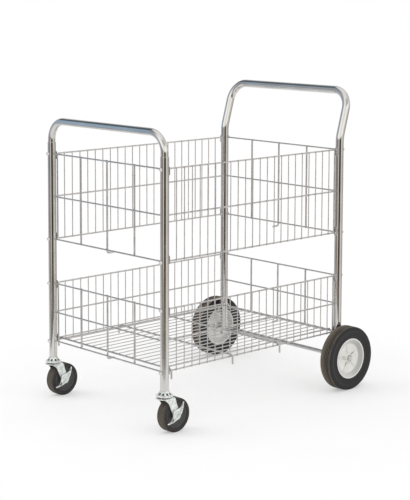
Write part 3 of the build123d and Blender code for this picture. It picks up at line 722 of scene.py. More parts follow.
def painted_shade_zinc(color):
    """Dull plating painted dark as shade in the wheel's shelter and in hollows, with a mottle."""
    finish = Finish("painted_shade_zinc", shade(color, 0.07), 0.1, 0.6)
    shade_mottle = finish.noise(120, 4)
    finish.feed("Base Color", finish.tinted(shade_mottle, 0.4, 0.75, shade(color, 0.05), shade(color, 0.20)))
    finish.feed("Roughness", finish.ranged(shade_mottle, 0.3, 0.7, 0.45, 0.7))
    finish.bump(shade_mottle, 0.2, 0.0004)
    return finish.material


def pressed_zinc(color):
    """Pale dull zinc on pressed steel, with a mottled bloom and darker handling marks."""
    finish = Finish("pressed_zinc", color, 0.72, 0.36)
    spangle = finish.cells(240)
    bloom = finish.noise(75, 5)
    marks = finish.noise(260, 5, roughness=0.65)
    pale = finish.tinted(bloom, 0.36, 0.66, shade(color, 0.74), shade(color, 1.15))
    speckled = finish.tinted(marks, 0.58, 0.70, pale, shade(color, 0.38))
    finish.feed("Base Color", speckled)
    finish.feed("Roughness", finish.maths("ADD", finish.ranged(bloom, 0.3, 0.7, 0.22, 0.40),
                                          finish.ranged(spangle, 0.0, 0.6, 0.0, 0.10)))
    finish.bump(bloom, 0.16, 0.0005)
    return finish.material


def cap_zinc(color):
    """Dull yellowish zinc on the axle caps, with a little grime."""
    finish = Finish("cap_zinc", shade(color, 0.88), 0.15, 0.5)
    grime = finish.noise(210, 5)
    finish.feed("Base Color", finish.tinted(grime, 0.52, 0.68, shade(color, 0.92), shade(color, 0.25)))
    finish.feed("Roughness", finish.ranged(grime, 0.3, 0.7, 0.42, 0.6))
    finish.bump(grime, 0.1, 0.0003)
    return finish.material


def drawn_steel(name, color):
    """Plain drawn steel with turning marks."""
    finish = Finish(name, color, 1.0, 0.3)
    marks = finish.noise(1, 3, finish.stretched((60, 900, 900)))
    finish.feed("Base Color", finish.tinted(marks, 0.35, 0.65, shade(color, 0.80), shade(color, 1.05)))
    finish.feed("Roughness", finish.ranged(marks, 0.3, 0.7, 0.22, 0.40))
    finish.bump(marks, 0.10, 0.0002)
    return finish.material


def wheel_rubber(name, color, dust, centre, tread_start, tread_radius, ridges=0.0):
    """Matt rubber, clean on the side wall, dusty on the tread, and worn pale on any ridges."""
    finish = Finish(name, color, 0.0, 0.62)
    finish.shader.inputs["Specular IOR Level"].default_value = 0.28
    out = finish.radius_from(centre)
    on_tread = finish.ranged(out, tread_start, tread_radius)
    scuffs = finish.noise(1, 4, finish.stretched((420, 30, 30)))
    mottle = finish.noise(90, 4)
    rings = finish.noise(1, 2, finish.combined(finish.maths("MULTIPLY", out, 260.0)))
    grain = finish.noise(1500, 2)
    face = finish.tinted(mottle, 0.3, 0.7, shade(color, 0.80), shade(color, 1.35))
    ringed = finish.tinted(rings, 0.45, 0.65, face, shade(color, 1.9))
    dusty = finish.product(on_tread, finish.ranged(scuffs, 0.34, 0.68, 0.15, 1.0))
    worn = finish.mixed(dusty, ringed, dust)
    if ridges:
        # Measured from a line near the tread's inner edge, in whole ridges from below zero
        x = finish.coordinates()[0]
        across = finish.maths("SUBTRACT", finish.maths("ABSOLUTE", x), centre.x - RIDGE_START)
        beside = finish.maths("PINGPONG", finish.maths("ADD", across, 10 * ridges), ridges / 2)
        line = finish.ranged(beside, 1.6 * MM, 0.7 * MM)
        fading = finish.ranged(across, -1 * MM, 19 * MM, 1.0, 0.0)
        worn = finish.mixed(finish.product(line, fading, on_tread), worn, shade(dust, 2.3))
    finish.feed("Base Color", worn)
    finish.feed("Roughness", finish.maths("ADD", finish.ranged(mottle, 0.3, 0.7, 0.44, 0.58),
                                          finish.ranged(dusty, 0.0, 1.0, 0.0, 0.25)))
    finish.bump(grain, 0.25, 0.0002)
    return finish.material


def moulded_plastic(name, color, roughness):
    """Moulded plastic with a fine texture, faint flow marks and a little dirt."""
    finish = Finish(name, color, 0.0, roughness)
    flow = finish.noise(28, 4)
    dirt = finish.noise(150, 5)
    grain = finish.noise(2200, 2)
    tone = finish.tinted(flow, 0.35, 0.65, shade(color, 0.95), shade(color, 1.03))
    dirty = finish.ranged(dirt, 0.62, 0.80, 0.0, 0.35)
    finish.feed("Base Color", finish.mixed(dirty, tone, shade(color, 0.62)))
    finish.feed("Roughness", finish.ranged(flow, 0.3, 0.7, roughness - 0.06, roughness + 0.08))
    finish.bump(grain, 0.10, 0.0002)
    return finish.material


def rim_plastic(color):
    """Off-white plastic with dirt spots, painted shade in the dish's wall towards the back, and painted
    shade in dark lines beside the ribs at the hub.
    """
    finish = Finish("rim_moulding", color, 0.0, 0.4)
    out = finish.radius_from(REAR_WHEEL)
    _, y, z = finish.coordinates()
    flow = finish.noise(28, 4)
    dirt = finish.noise(150, 5)
    grain = finish.noise(2200, 2)
    tone = finish.tinted(flow, 0.35, 0.65, shade(color, 0.94), shade(color, 1.04))
    # Painted shade: the dish's wall darkened, most towards the back of the wheel
    wall = finish.band(out, 46 * MM, 49 * MM, 60 * MM, 61.5 * MM)
    behind = finish.ranged(y, REAR_WHEEL.y - 25 * MM, REAR_WHEEL.y + 40 * MM, 0.35, 1.0)
    wall_shaded = finish.mixed(finish.product(wall, behind), tone, shade(color, 0.56))
    spotted = finish.mixed(finish.ranged(dirt, 0.60, 0.80, 0.0, 0.4), wall_shaded, shade(color, 0.60))
    # Painted shade: dark lines beside the ribs near the hub, broken up by the dirt noise
    turn = finish.maths("ARCTAN2", finish.maths("SUBTRACT", z, REAR_WHEEL.z),
                        finish.maths("SUBTRACT", y, REAR_WHEEL.y))
    shifted = finish.maths("ADD", turn, math.tau - RIB_TURN)
    beside = finish.product(finish.maths("PINGPONG", shifted, math.pi / RIB_COUNT), out)
    line = finish.band(beside, 1.9 * MM, 2.5 * MM, 3.6 * MM, 4.6 * MM)
    near_hub = finish.band(out, 12 * MM, 14 * MM, 26 * MM, 33 * MM)
    rib_shade_lines = finish.product(line, near_hub, finish.ranged(dirt, 0.40, 0.52))
    # Two ribs get almost none of this painted shade: the upper front one and the lower back one
    sector = finish.maths("DIVIDE", shifted, math.tau / RIB_COUNT)
    nearest = finish.maths("MODULO", finish.maths("ROUND", sector), float(RIB_COUNT))
    clean = finish.maths("ADD", *(finish.maths("COMPARE", nearest, float(rib)) for rib in UNSHADED_RIBS))
    # grime here is the painted shade beside the ribs
    grime = finish.product(rib_shade_lines, finish.ranged(clean, 0.0, 1.0, 1.0, 0.12))
    finish.feed("Base Color", finish.mixed(grime, spotted, shade(color, 0.16)))
    finish.feed("Roughness", finish.ranged(flow, 0.3, 0.7, 0.32, 0.48))
    finish.bump(grain, 0.10, 0.0002)
    return finish.material


def finishes(*names):
    """Materials already made, by name."""
    return [bpy.data.materials[name] for name in names]


def make_materials(colors):
    """Makes every finish once, from the colours that a user may change."""
    chrome_plating(tuple(colors.chrome))
    wire_plating(tuple(colors.wire))
    weld_plating(tuple(colors.wire))
    screw_plating(tuple(colors.screw))
    pressed_zinc(tuple(colors.pressed))
    painted_highlight_zinc(shade(tuple(colors.pressed), 1.1))
    painted_shade_zinc(tuple(colors.pressed))
    cap_zinc(tuple(colors.rim))
    drawn_steel("axle_steel_drawn", (0.62, 0.61, 0.60))
    wheel_rubber("rear_tyre_rubber", tuple(colors.tyre_rubber), tuple(colors.tread_dust), REAR_WHEEL,
                 REAR_WHEEL_RADIUS - 1.9 * MM, REAR_WHEEL_RADIUS - 0.5 * MM, RIDGE_PITCH)
    wheel_rubber("caster_tyre_rubber", tuple(colors.caster_rubber), tuple(colors.tread_dust), CASTER_WHEEL,
                 CASTER_WHEEL_RADIUS - 2.5 * MM, CASTER_WHEEL_RADIUS - 0.3 * MM)
    rim_plastic(tuple(colors.rim))
    moulded_plastic("caster_core_moulding", (0.05, 0.05, 0.052), 0.5)
    moulded_plastic("bush_moulding", (0.35, 0.35, 0.33), 0.45)


def break_edges(item, width):
    """Rounds the sharp edges of a pressed piece a little."""
    bevel = item.modifiers.new("Broken edges", "BEVEL")
    bevel.width = width
    bevel.segments = 2
    bevel.limit_method = "ANGLE"
    bevel.angle_limit = math.radians(42)
    bevel.harden_normals = True


def dress(node, material, edge=0.0):
    """Gives a carried-over CAD node its material and, if asked, broken edges."""
    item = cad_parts[node]
    item.data.materials.clear()
    item.data.materials.append(*finishes(material))
    if edge:
        break_edges(item, edge)
    return item


# The stage

CAMERA_PLACE = (3.31135, -3.14453, 1.29129)
CAMERA_AZIMUTH = 47.181
CAMERA_ELEVATION = 6.095
CAMERA_ROLL = 0.13
FOCAL_PIXELS = 1454.9
IMAGE_HEIGHT = 500
CENTRE_SHIFT = (16.56, -110)

# What bright metal mirrors, by degrees around from the camera: first level with the eye,
# where a dark stand fills the middle and a blue window the left
STUDIO_RING = (
    (-180, (0.45, 0.44, 0.43)), (-135, (0.62, 0.60, 0.59)), (-116, (0.46, 0.46, 0.47)),
    (-106, (0.40, 0.47, 0.56)), (-100, (0.44, 0.61, 0.83)), (-96, (0.42, 0.54, 0.68)),
    (-93, (0.42, 0.45, 0.50)), (-88, (0.40, 0.39, 0.39)), (-72, (0.29, 0.25, 0.225)),
    (-55, (0.33, 0.28, 0.25)),
    (-44, (0.50, 0.44, 0.40)), (-34, (0.85, 0.77, 0.71)), (-26, (1.08, 1.00, 0.94)),
    (-19, (0.60, 0.55, 0.48)), (-12, (0.20, 0.16, 0.13)), (-5, (0.05, 0.04, 0.03)),
    (10, (0.03, 0.025, 0.018)), (24, (0.05, 0.04, 0.03)), (31, (0.28, 0.26, 0.24)),
    (40, (0.66, 0.64, 0.61)), (48, (1.02, 1.00, 0.97)), (60, (0.88, 0.86, 0.83)),
    (85, (0.68, 0.65, 0.63)), (112, (0.52, 0.50, 0.48)), (140, (0.46, 0.43, 0.41)),
    (180, (0.45, 0.44, 0.43)),
)

# Where the stand's foot meets the floor
EDGE_RING = (
    (-180, (0.60, 0.58, 0.57)), (-130, (0.98, 0.97, 0.95)), (-112, (0.90, 0.90, 0.89)),
    (-104, (0.60, 0.66, 0.74)), (-98, (0.48, 0.60, 0.74)), (-93, (0.78, 0.78, 0.78)),
    (-80, (0.66, 0.64, 0.61)), (-66, (0.44, 0.41, 0.37)), (-52, (0.30, 0.275, 0.24)),
    (-34, (0.26, 0.24, 0.20)), (-18, (0.21, 0.19, 0.15)), (1, (0.16, 0.14, 0.11)),
    (16, (0.18, 0.16, 0.12)), (28, (0.30, 0.28, 0.24)), (38, (0.62, 0.58, 0.54)),
    (52, (0.95, 0.90, 0.85)), (72, (0.98, 0.93, 0.89)), (101, (0.70, 0.65, 0.63)),
    (135, (0.52, 0.48, 0.46)), (180, (0.60, 0.58, 0.57)),
)

# Above the eye: white walls with a grey one ahead, and the window's upper part
SKY_RING = (
    (-180, (0.90, 0.90, 0.89)), (-165, (0.75, 0.76, 0.78)), (-140, (0.50, 0.53, 0.57)),
    (-122, (0.42, 0.48, 0.57)), (-110, (0.40, 0.51, 0.65)), (-98, (0.42, 0.56, 0.74)),
    (-93, (0.40, 0.43, 0.48)), (-86, (0.44, 0.435, 0.43)), (-78, (0.95, 0.94, 0.93)),
    (-70, (1.30, 1.29, 1.28)), (-60, (1.40, 1.40, 1.38)), (-48, (1.40, 1.40, 1.38)),
    (-35, (1.32, 1.30, 1.28)), (-20, (1.18, 1.16, 1.13)), (-5, (1.08, 1.06, 1.03)),
    (8, (1.20, 1.18, 1.14)), (20, (1.38, 1.37, 1.33)), (35, (1.40, 1.39, 1.36)),
    (54, (1.38, 1.37, 1.33)), (75, (1.15, 1.14, 1.11)), (105, (1.00, 0.99, 0.97)),
    (140, (0.75, 0.74, 0.72)), (165, (0.80, 0.80, 0.78)), (180, (0.90, 0.90, 0.89)),
)

# Higher up: the dark gap over the window
HIGH_RING = (
    (-180, (0.60, 0.60, 0.60)), (-165, (0.45, 0.46, 0.47)), (-150, (0.26, 0.28, 0.30)),
    (-130, (0.08, 0.10, 0.125)), (-114, (0.10, 0.14, 0.18)), (-104, (0.20, 0.26, 0.31)),
    (-96, (0.33, 0.36, 0.39)), (-88, (0.38, 0.38, 0.38)), (-78, (0.55, 0.55, 0.54)),
    (-68, (0.85, 0.85, 0.84)), (-58, (1.15, 1.15, 1.14)), (-38, (1.30, 1.29, 1.27)),
    (-20, (1.00, 0.99, 0.97)), (0, (0.66, 0.65, 0.63)), (25, (0.58, 0.57, 0.55)),
    (55, (0.75, 0.74, 0.72)), (85, (0.80, 0.79, 0.77)), (116, (0.74, 0.73, 0.71)),
    (145, (0.85, 0.84, 0.83)), (165, (0.75, 0.75, 0.74)), (180, (0.60, 0.60, 0.60)),
)

# Towards the floor: pale, but for the window's own light beside it
GROUND_RING = (
    (-180, (0.98, 0.97, 0.96)), (-134, (0.98, 0.97, 0.96)), (-118, (0.60, 0.63, 0.67)),
    (-108, (0.38, 0.45, 0.53)), (-97, (0.42, 0.50, 0.60)), (-91, (0.95, 0.94, 0.93)),
    (180, (0.98, 0.97, 0.96)),
)

# The rings from the floor up, each with the degrees of rise over which it takes over
RINGS_BY_RISE = (
    (-42, -33, GROUND_RING), (-15.7, -15.1, EDGE_RING), (-13.5, -10, STUDIO_RING),
    (1, 7, SKY_RING), (22, 34, HIGH_RING),
)
CEILING_RISE = (50, 62)
# The brightest that a ring may hold, as ramps keep colours up to 1
BRIGHTEST = 1.4
PALE_GROUND = (0.98, 0.975, 0.96)
CEILING = (1.05, 1.05, 1.04)
EVEN_LIGHT = (0.98, 0.98, 0.98)
WHITE = (1.0, 1.0, 1.0)

# The floor's size, where it starts to fade, where it is white, and how white it starts
FLOOR_RADIUS = 1.1
FLOOR_SEGMENTS = 128
FADE_START, FADE_END = 0.75, 1.05
FADE_LEAST = 0.36

# Each lamp's name, place, target, width and power
LAMPS = (
    ("key_lamp", (-2.4, -2.9, 3.6), (0, 0, 0.3), 2.6, 30),
    ("fill_lamp", (3.4, 0.6, 3.0), (0, 0, 0.4), 3.0, 10),
)


def camera_axes():
    """The camera's right, up and back directions."""
    turn, rise, roll = (math.radians(value) for value in (CAMERA_AZIMUTH, CAMERA_ELEVATION, CAMERA_ROLL))
    right = Vector((math.cos(turn), math.sin(turn), 0))
    back = Vector((math.sin(turn) * math.cos(rise), -math.cos(turn) * math.cos(rise), math.sin(rise)))
    up = back.cross(right)
    return (right * math.cos(roll) + up * math.sin(roll),
            up * math.cos(roll) - right * math.sin(roll), back)


def make_camera():
    """The camera at the photograph's angle, with the shift that its framing needs."""
    data = bpy.data.cameras.new("Camera")
    data.sensor_width = 36
    data.lens = FOCAL_PIXELS / IMAGE_HEIGHT * data.sensor_width
    data.shift_x = CENTRE_SHIFT[0] / IMAGE_HEIGHT
    data.shift_y = CENTRE_SHIFT[1] / IMAGE_HEIGHT
    data.clip_start = 0.1
    data.clip_end = 200
    camera = bpy.data.objects.new("Camera", data)
    right, up, back = camera_axes()
    matrix = Matrix((right, up, back)).transposed().to_4x4()
    matrix.translation = Vector(CAMERA_PLACE)
    camera.matrix_world = matrix
    bpy.context.scene.collection.objects.link(camera)
    bpy.context.scene.camera = camera


def ring_colors(graph, around, ring):
    """A ring's colours, by the share of the way around it."""
    node = graph.nodes.new("ShaderNodeValToRGB")
    elements = node.color_ramp.elements
    while len(elements) > 1:
        elements.remove(elements[0])
    for number, (angle, color) in enumerate(ring):
        position = angle / 360 + 0.5
        element = elements[0] if number == 0 else elements.new(position)
        element.position = position
        element.color = (*shade(color, 1 / BRIGHTEST), 1)
    graph.links.new(around, node.inputs["Fac"])
    raised = graph.nodes.new("ShaderNodeVectorMath")
    raised.operation = "SCALE"
    raised.inputs["Scale"].default_value = BRIGHTEST
    graph.links.new(node.outputs["Color"], raised.inputs[0])
    return raised.outputs["Vector"]


def takeover(graph, rise, start, end):
    """0 below a start and 1 above an end, both in degrees of rise."""
    node = graph.nodes.new("ShaderNodeMapRange")
    node.interpolation_type = "SMOOTHSTEP"
    node.inputs["From Min"].default_value = math.sin(math.radians(start))
    node.inputs["From Max"].default_value = math.sin(math.radians(end))
    graph.links.new(rise, node.inputs["Value"])
    return node.outputs["Result"]


def make_world():
    """White to the camera, even light to dull surfaces, and a studio with a dark stand
    and a blue window to whatever mirrors it."""
    world = bpy.data.worlds.new("Studio")
    bpy.context.scene.world = world
    world.use_nodes = True
    graph = Graph(world.node_tree)
    graph.nodes.clear()
    direction = graph.nodes.new("ShaderNodeTexCoord").outputs["Generated"]
    turn = math.radians(CAMERA_AZIMUTH)
    ahead = graph.reach_along(direction, (math.sin(turn), -math.cos(turn), 0))
    aside = graph.reach_along(direction, (math.cos(turn), math.sin(turn), 0))
    rise = graph.reach_along(direction, (0, 0, 1))
    around = graph.maths("ADD", graph.maths("DIVIDE", graph.maths("ARCTAN2", aside, ahead), math.tau), 0.5)
    shown = PALE_GROUND
    for start, end, ring in RINGS_BY_RISE:
        shown = graph.mixed(takeover(graph, rise, start, end), shown, ring_colors(graph, around, ring))
    shown = graph.mixed(takeover(graph, rise, *CEILING_RISE), shown, CEILING)
    light_path = graph.nodes.new("ShaderNodeLightPath")
    even = graph.mixed(light_path.outputs["Is Glossy Ray"], EVEN_LIGHT, shown)
    background = graph.nodes.new("ShaderNodeBackground")
    seen = graph.mixed(light_path.outputs["Is Camera Ray"], even, WHITE)
    graph.links.new(seen, background.inputs["Color"])
    background.inputs["Strength"].default_value = 1.0
    output = graph.nodes.new("ShaderNodeOutputWorld")
    graph.links.new(background.outputs["Background"], output.inputs["Surface"])


def make_floor(color):
    """A round pale floor that keeps the shadow and fades to white at its rim."""
    mesh = bpy.data.meshes.new("floor")
    edge = [(*point, 0) for point in circle_points((0, 0), FLOOR_RADIUS, FLOOR_SEGMENTS)]
    mesh.from_pydata(edge, [], [list(range(FLOOR_SEGMENTS))])
    floor = bpy.data.objects.new("floor", mesh)
    bpy.context.scene.collection.objects.link(floor)
    finish = Finish("floor_paper", color, 0.0, 0.9)
    mottle = finish.noise(2.5, 3)
    finish.feed("Base Color", finish.tinted(mottle, 0.3, 0.7, shade(color, 0.985), shade(color, 1.015)))
    finish.shader.inputs["Specular IOR Level"].default_value = 0.1
    fade = finish.ranged(finish.length(finish.place), FADE_START, FADE_END, FADE_LEAST, 1.0)
    camera = finish.nodes.new("ShaderNodeLightPath").outputs["Is Camera Ray"]
    white = finish.nodes.new("ShaderNodeEmission")
    white.inputs["Strength"].default_value = 1.0
    blend = finish.nodes.new("ShaderNodeMixShader")
    finish.give(blend.inputs["Fac"], finish.product(fade, camera))
    finish.give(blend.inputs[1], finish.shader.outputs["BSDF"])
    finish.give(blend.inputs[2], white.outputs["Emission"])
    finish.give(finish.nodes["Material Output"].inputs["Surface"], blend.outputs["Shader"])
    mesh.materials.append(finish.material)


def make_lamp(name, place, target, size, power):
    """A soft round lamp that shiny surfaces don't mirror."""
    data = bpy.data.lights.new(name, "AREA")
    data.shape = "DISK"
    data.size = size
    data.energy = power
    lamp = bpy.data.objects.new(name, data)
    lamp.location = place
    lamp.rotation_mode = "QUATERNION"
    lamp.rotation_quaternion = (Vector(target) - Vector(place)).to_track_quat("-Z", "Y")
    lamp.visible_glossy = False
    bpy.context.scene.collection.objects.link(lamp)


# Operators

class TROLLEY_OT_stage(bpy.types.Operator):
    """Makes the materials, the pale floor, the studio light and the camera"""
    bl_idname = "trolley.stage"
    bl_label = "Stage"

    def execute(self, context):
        colors = context.scene.trolley_finishes
        make_materials(colors)
        make_camera()
        make_world()
        make_floor(tuple(colors.floor))
        for lamp in LAMPS:
            make_lamp(*lamp)
        context.scene.view_settings.view_transform = "Standard"
        return {"FINISHED"}


class TROLLEY_OT_tubes(bpy.types.Operator):
    """Makes the front posts, the front bow and the push handle with its rear posts"""
    bl_idname = "trolley.tubes"
    bl_label = "Posts and handle"

    def execute(self, context):
        sizes = context.scene.trolley_sizes
        segments = sizes.tube_segments
        chrome = finishes("chrome_plating")
        for word, side in SIDES:
            post = Shape()
            x = side * POST_X
            foot, top = low(f"front_post_{word}").z, high(f"front_post_{word}").z
            route = [(Vector((x, FRONT_Y, z)), Vector((0, 0, 1))) for z in (foot, top)]
            sweep(post, route, sizes.post_radius, segments, edge=TUBE_EDGE,
                  bore=sizes.post_radius - TUBE_WALL)
            post.piece(f"post_front_{word}", "frame", chrome, [f"front_post_{word}"], "post_chrome")
        bow = Shape()
        half_route = [(POST_X, FRONT_Y, BOW_FOOT), (POST_X, FRONT_Y, BOW_HEIGHT)]
        route = bent_route(mirrored(half_route), BOW_BEND, TUBE_BEND_STEPS)
        sweep(bow, route, sizes.bow_radius, segments)
        bow.piece("bow_front", "frame", chrome, ["front_bow"], "post_chrome")
        handle = Shape()
        half_route = [(POST_X, REAR_Y, REAR_FOOT), (POST_X, REAR_Y, HANDLE_LEAN_HEIGHT),
                      (POST_X, HANDLE_Y, HANDLE_HEIGHT)]
        bends = [HANDLE_LEAN_BEND, HANDLE_CORNER_BEND]
        route = bent_route(mirrored(half_route), [*bends, *reversed(bends)], TUBE_BEND_STEPS)
        sweep(handle, route, sizes.post_radius, segments, edge=TUBE_EDGE,
              bore=sizes.post_radius - TUBE_WALL)
        handle.piece("handle_and_rear_posts", "frame", chrome, ["rear_handle_tube"], "post_chrome")
        return {"FINISHED"}


class TROLLEY_OT_end_panels(bpy.types.Operator):
    """Makes the four welded end panels, each with a hooked middle upright"""
    bl_idname = "trolley.end_panels"
    bl_label = "End panels"

    def execute(self, context):
        sizes = context.scene.trolley_sizes
        half = POST_X - POST_RADIUS
        spacing = 2 * half / (END_UPRIGHT_COUNT + 1)
        flare = rounded([(0, RAIL_RADIUS * 0.5), (0, RAIL_RADIUS * 1.75),
                         (1.1 * MM, RAIL_RADIUS * 1.35), (2.6 * MM, RAIL_RADIUS * 0.9)], 0.4 * MM, 2)
        for level, (rim, bottom) in (("upper", UPPER_RAILS), ("lower", LOWER_RAILS)):
            for word, y, inward in (("front", FRONT_Y, 1), ("rear", REAR_Y, -1)):
                panel = Shape()
                heights = (rim, (rim + bottom) / 2, bottom)
                upright_y = y + inward * (RAIL_RADIUS + UPRIGHT_RADIUS - WELD_SINK)
                weld_y = y + inward * (RAIL_RADIUS - WELD_SINK / 2)
                for z in heights:
                    rod(panel, (-half, y, z), (half, y, z), sizes.rail_radius, sizes.wire_segments)
                    for side in (1, -1):
                        lathe(panel, flare, (side * (half + 0.2 * MM), y, z), (-side, 0, 0), 14, slot=1)
                for number in range(END_UPRIGHT_COUNT):
                    x = (number + 1) * spacing - half
                    top = (x, upright_y, rim + RAIL_RADIUS)
                    if number == END_UPRIGHT_COUNT // 2:
                        hook_z = bottom - HOOK_DROP
                        route = bent_route([top, (x, upright_y, hook_z),
                                            (x, upright_y + inward * HOOK_REACH, hook_z)], HOOK_BEND, 8)
                        sweep(panel, route, sizes.upright_radius, sizes.wire_segments, edge=0.4 * MM)
                    else:
                        rod(panel, top, (x, upright_y, bottom - RAIL_RADIUS),
                            sizes.upright_radius, sizes.wire_segments)
                    for step, z in enumerate(heights):
                        weld(panel, Vector((x, weld_y, z)), (0, 0, 1), (1, 0, 0), (0, 1, 0),
                             sizes.weld_radius * 1.5, number * 3 + step + int(rim * 100))
                panel.piece(f"{level}_{word}_basket_end", "frame",
                            finishes("wire_plating", "weld_plating"),
                            [f"{level}_{word}_panel"], "wire_zinc")
        return {"FINISHED"}


class TROLLEY_OT_side_panels(bpy.types.Operator):
    """Makes the four side panels: a closed loop, a middle rail, thin wires and screw tabs"""
    bl_idname = "trolley.side_panels"
    bl_label = "Side panels"

    def execute(self, context):
        sizes = context.scene.trolley_sizes
        first_y, last_y = FRONT_Y + LOOP_OFFSET, REAR_Y - LOOP_OFFSET
        pitch = (REAR_Y - FRONT_Y - 2 * SIDE_WIRE_END_GAP) / (SIDE_WIRE_COUNT - 1)
        for level, (rim, bottom) in (("upper", UPPER_RAILS), ("lower", LOWER_RAILS)):
            for word, side in SIDES:
                panel = Shape()
                x, wire_x = side * SIDE_RAIL_X, side * SIDE_WIRE_X
                corners = [(x, first_y, bottom), (x, last_y, bottom), (x, last_y, rim), (x, first_y, rim)]
                loop = bent_route(corners, LOOP_CORNER_BEND, 8, closed=True)
                sweep(panel, loop, sizes.rail_radius, sizes.wire_segments, closed=True)
                middle_z = (rim + bottom) / 2
                rod(panel, (x, first_y, middle_z), (x, last_y, middle_z),
                    sizes.rail_radius, sizes.wire_segments)
                for y in (first_y, last_y):
                    weld(panel, Vector((x, y, middle_z)), (0, 1, 0), (0, 0, 1), (1, 0, 0),
                         sizes.weld_radius * 1.7, 1)
                weld_x = side * (SIDE_RAIL_X + RAIL_RADIUS - WELD_SINK / 2)
                for number in range(SIDE_WIRE_COUNT):
                    y = FRONT_Y + SIDE_WIRE_END_GAP + number * pitch
                    rod(panel, (wire_x, y, bottom - RAIL_RADIUS), (wire_x, y, rim + RAIL_RADIUS),
                        sizes.wire_radius, sizes.wire_segments)
                    for step, z in enumerate((rim, middle_z, bottom)):
                        weld(panel, Vector((weld_x, y, z)), (0, 0, 1), (0, 1, 0), (1, 0, 0),
                             sizes.weld_radius, number * 3 + step + side)
                self.add_tabs(panel, side, rim, bottom, sizes)
                panel.piece(f"{level}_basket_side_{word}", "frame",
                            finishes("wire_plating", "weld_plating"),
                            [f"{level}_side_panel_{word}"], "wire_zinc")
        return {"FINISHED"}

    @staticmethod
    def add_tabs(panel, side, rim, bottom, sizes):
        inner, outer = SIDE_RAIL_X - RAIL_RADIUS, POST_X + TAB_SIDE
        for y in (FRONT_Y + POST_RADIUS, REAR_Y - POST_RADIUS - TAB_THICKNESS):
            for height, tail in ((rim, -1), (bottom, 1)):
                low_z, high_z = sorted((height - tail * TAB_SIDE, height + tail * TAB_TAIL))
                corners = [(inner, low_z), (outer, low_z), (outer, high_z), (inner, high_z)]
                outline = rounded(corners, TAB_CORNER, 5)
                hole = circle_points((POST_X, height), SCREW_RADIUS + FIT_GAP, 20, clockwise=True)
                place = placing((0, y, 0), (side, 0, 0), (0, 0, 1))
                third = place.to_3x3() @ Vector((0, 0, 1))
                if third.y < 0:
                    place.translation = Vector((0, y + TAB_THICKNESS, 0))
                plate(panel, outline, [hole], TAB_THICKNESS, sizes.edge_break, place)


class TROLLEY_OT_deck(bpy.types.Operator):
    """Makes the wire deck and its four bent cross rods"""
    bl_idname = "trolley.deck"
    bl_label = "Deck"

    def execute(self, context):
        sizes = context.scene.trolley_sizes
        deck = Shape()
        stub_x = high("deck_mat").x - SUPPORT_RADIUS
        foot = low("deck_mat").z
        support_z = LOWER_RAILS[1] + RAIL_RADIUS + FIT_GAP + SUPPORT_RADIUS
        front_end, back_end = low("deck_mat").y, high("deck_mat").y
        first = FRONT_Y + LOOP_OFFSET + LOOP_CORNER_BEND + 1 * MM
        pitch = (REAR_Y - FRONT_Y - 2 * SIDE_WIRE_END_GAP) / (SIDE_WIRE_COUNT - 1)
        inner = SIDE_WIRE_END_GAP + 7.22 * pitch
        places = (first, FRONT_Y + inner, REAR_Y - inner, REAR_Y - (first - FRONT_Y))
        for y in places:
            route = bent_route(mirrored([(-stub_x, y, foot), (-stub_x, y, support_z)]), STUB_BEND, 8)
            sweep(deck, route, SUPPORT_RADIUS, sizes.wire_segments, edge=TUBE_EDGE)
        edge_x = SIDE_RAIL_X - RAIL_RADIUS - 5.9 * MM - DECK_EDGE_RADIUS
        step_x = 2 * edge_x / (DECK_WIRE_COUNT - 1)
        top = support_z + SUPPORT_RADIUS
        for number in range(DECK_WIRE_COUNT):
            x = number * step_x - edge_x
            radius = DECK_EDGE_RADIUS if number in (0, DECK_WIRE_COUNT - 1) else sizes.wire_radius
            z = top - WELD_SINK + radius
            rod(deck, (x, front_end, z), (x, back_end, z), radius, sizes.wire_segments)
            for step, y in enumerate(places):
                weld(deck, Vector((x, y, top - WELD_SINK / 2)), (0, 1, 0), (1, 0, 0), (0, 0, 1),
                     sizes.weld_radius, number * 4 + step)
        deck.piece("wire_deck", "frame", finishes("wire_plating", "weld_plating"),
                   ["deck_mat"], "wire_zinc")
        return {"FINISHED"}


def screw_places():
    return [(side * POST_X, y, z, out) for y, out in ((FRONT_Y, -1), (REAR_Y, 1))
            for side in (1, -1) for z in (*UPPER_RAILS, *LOWER_RAILS)]


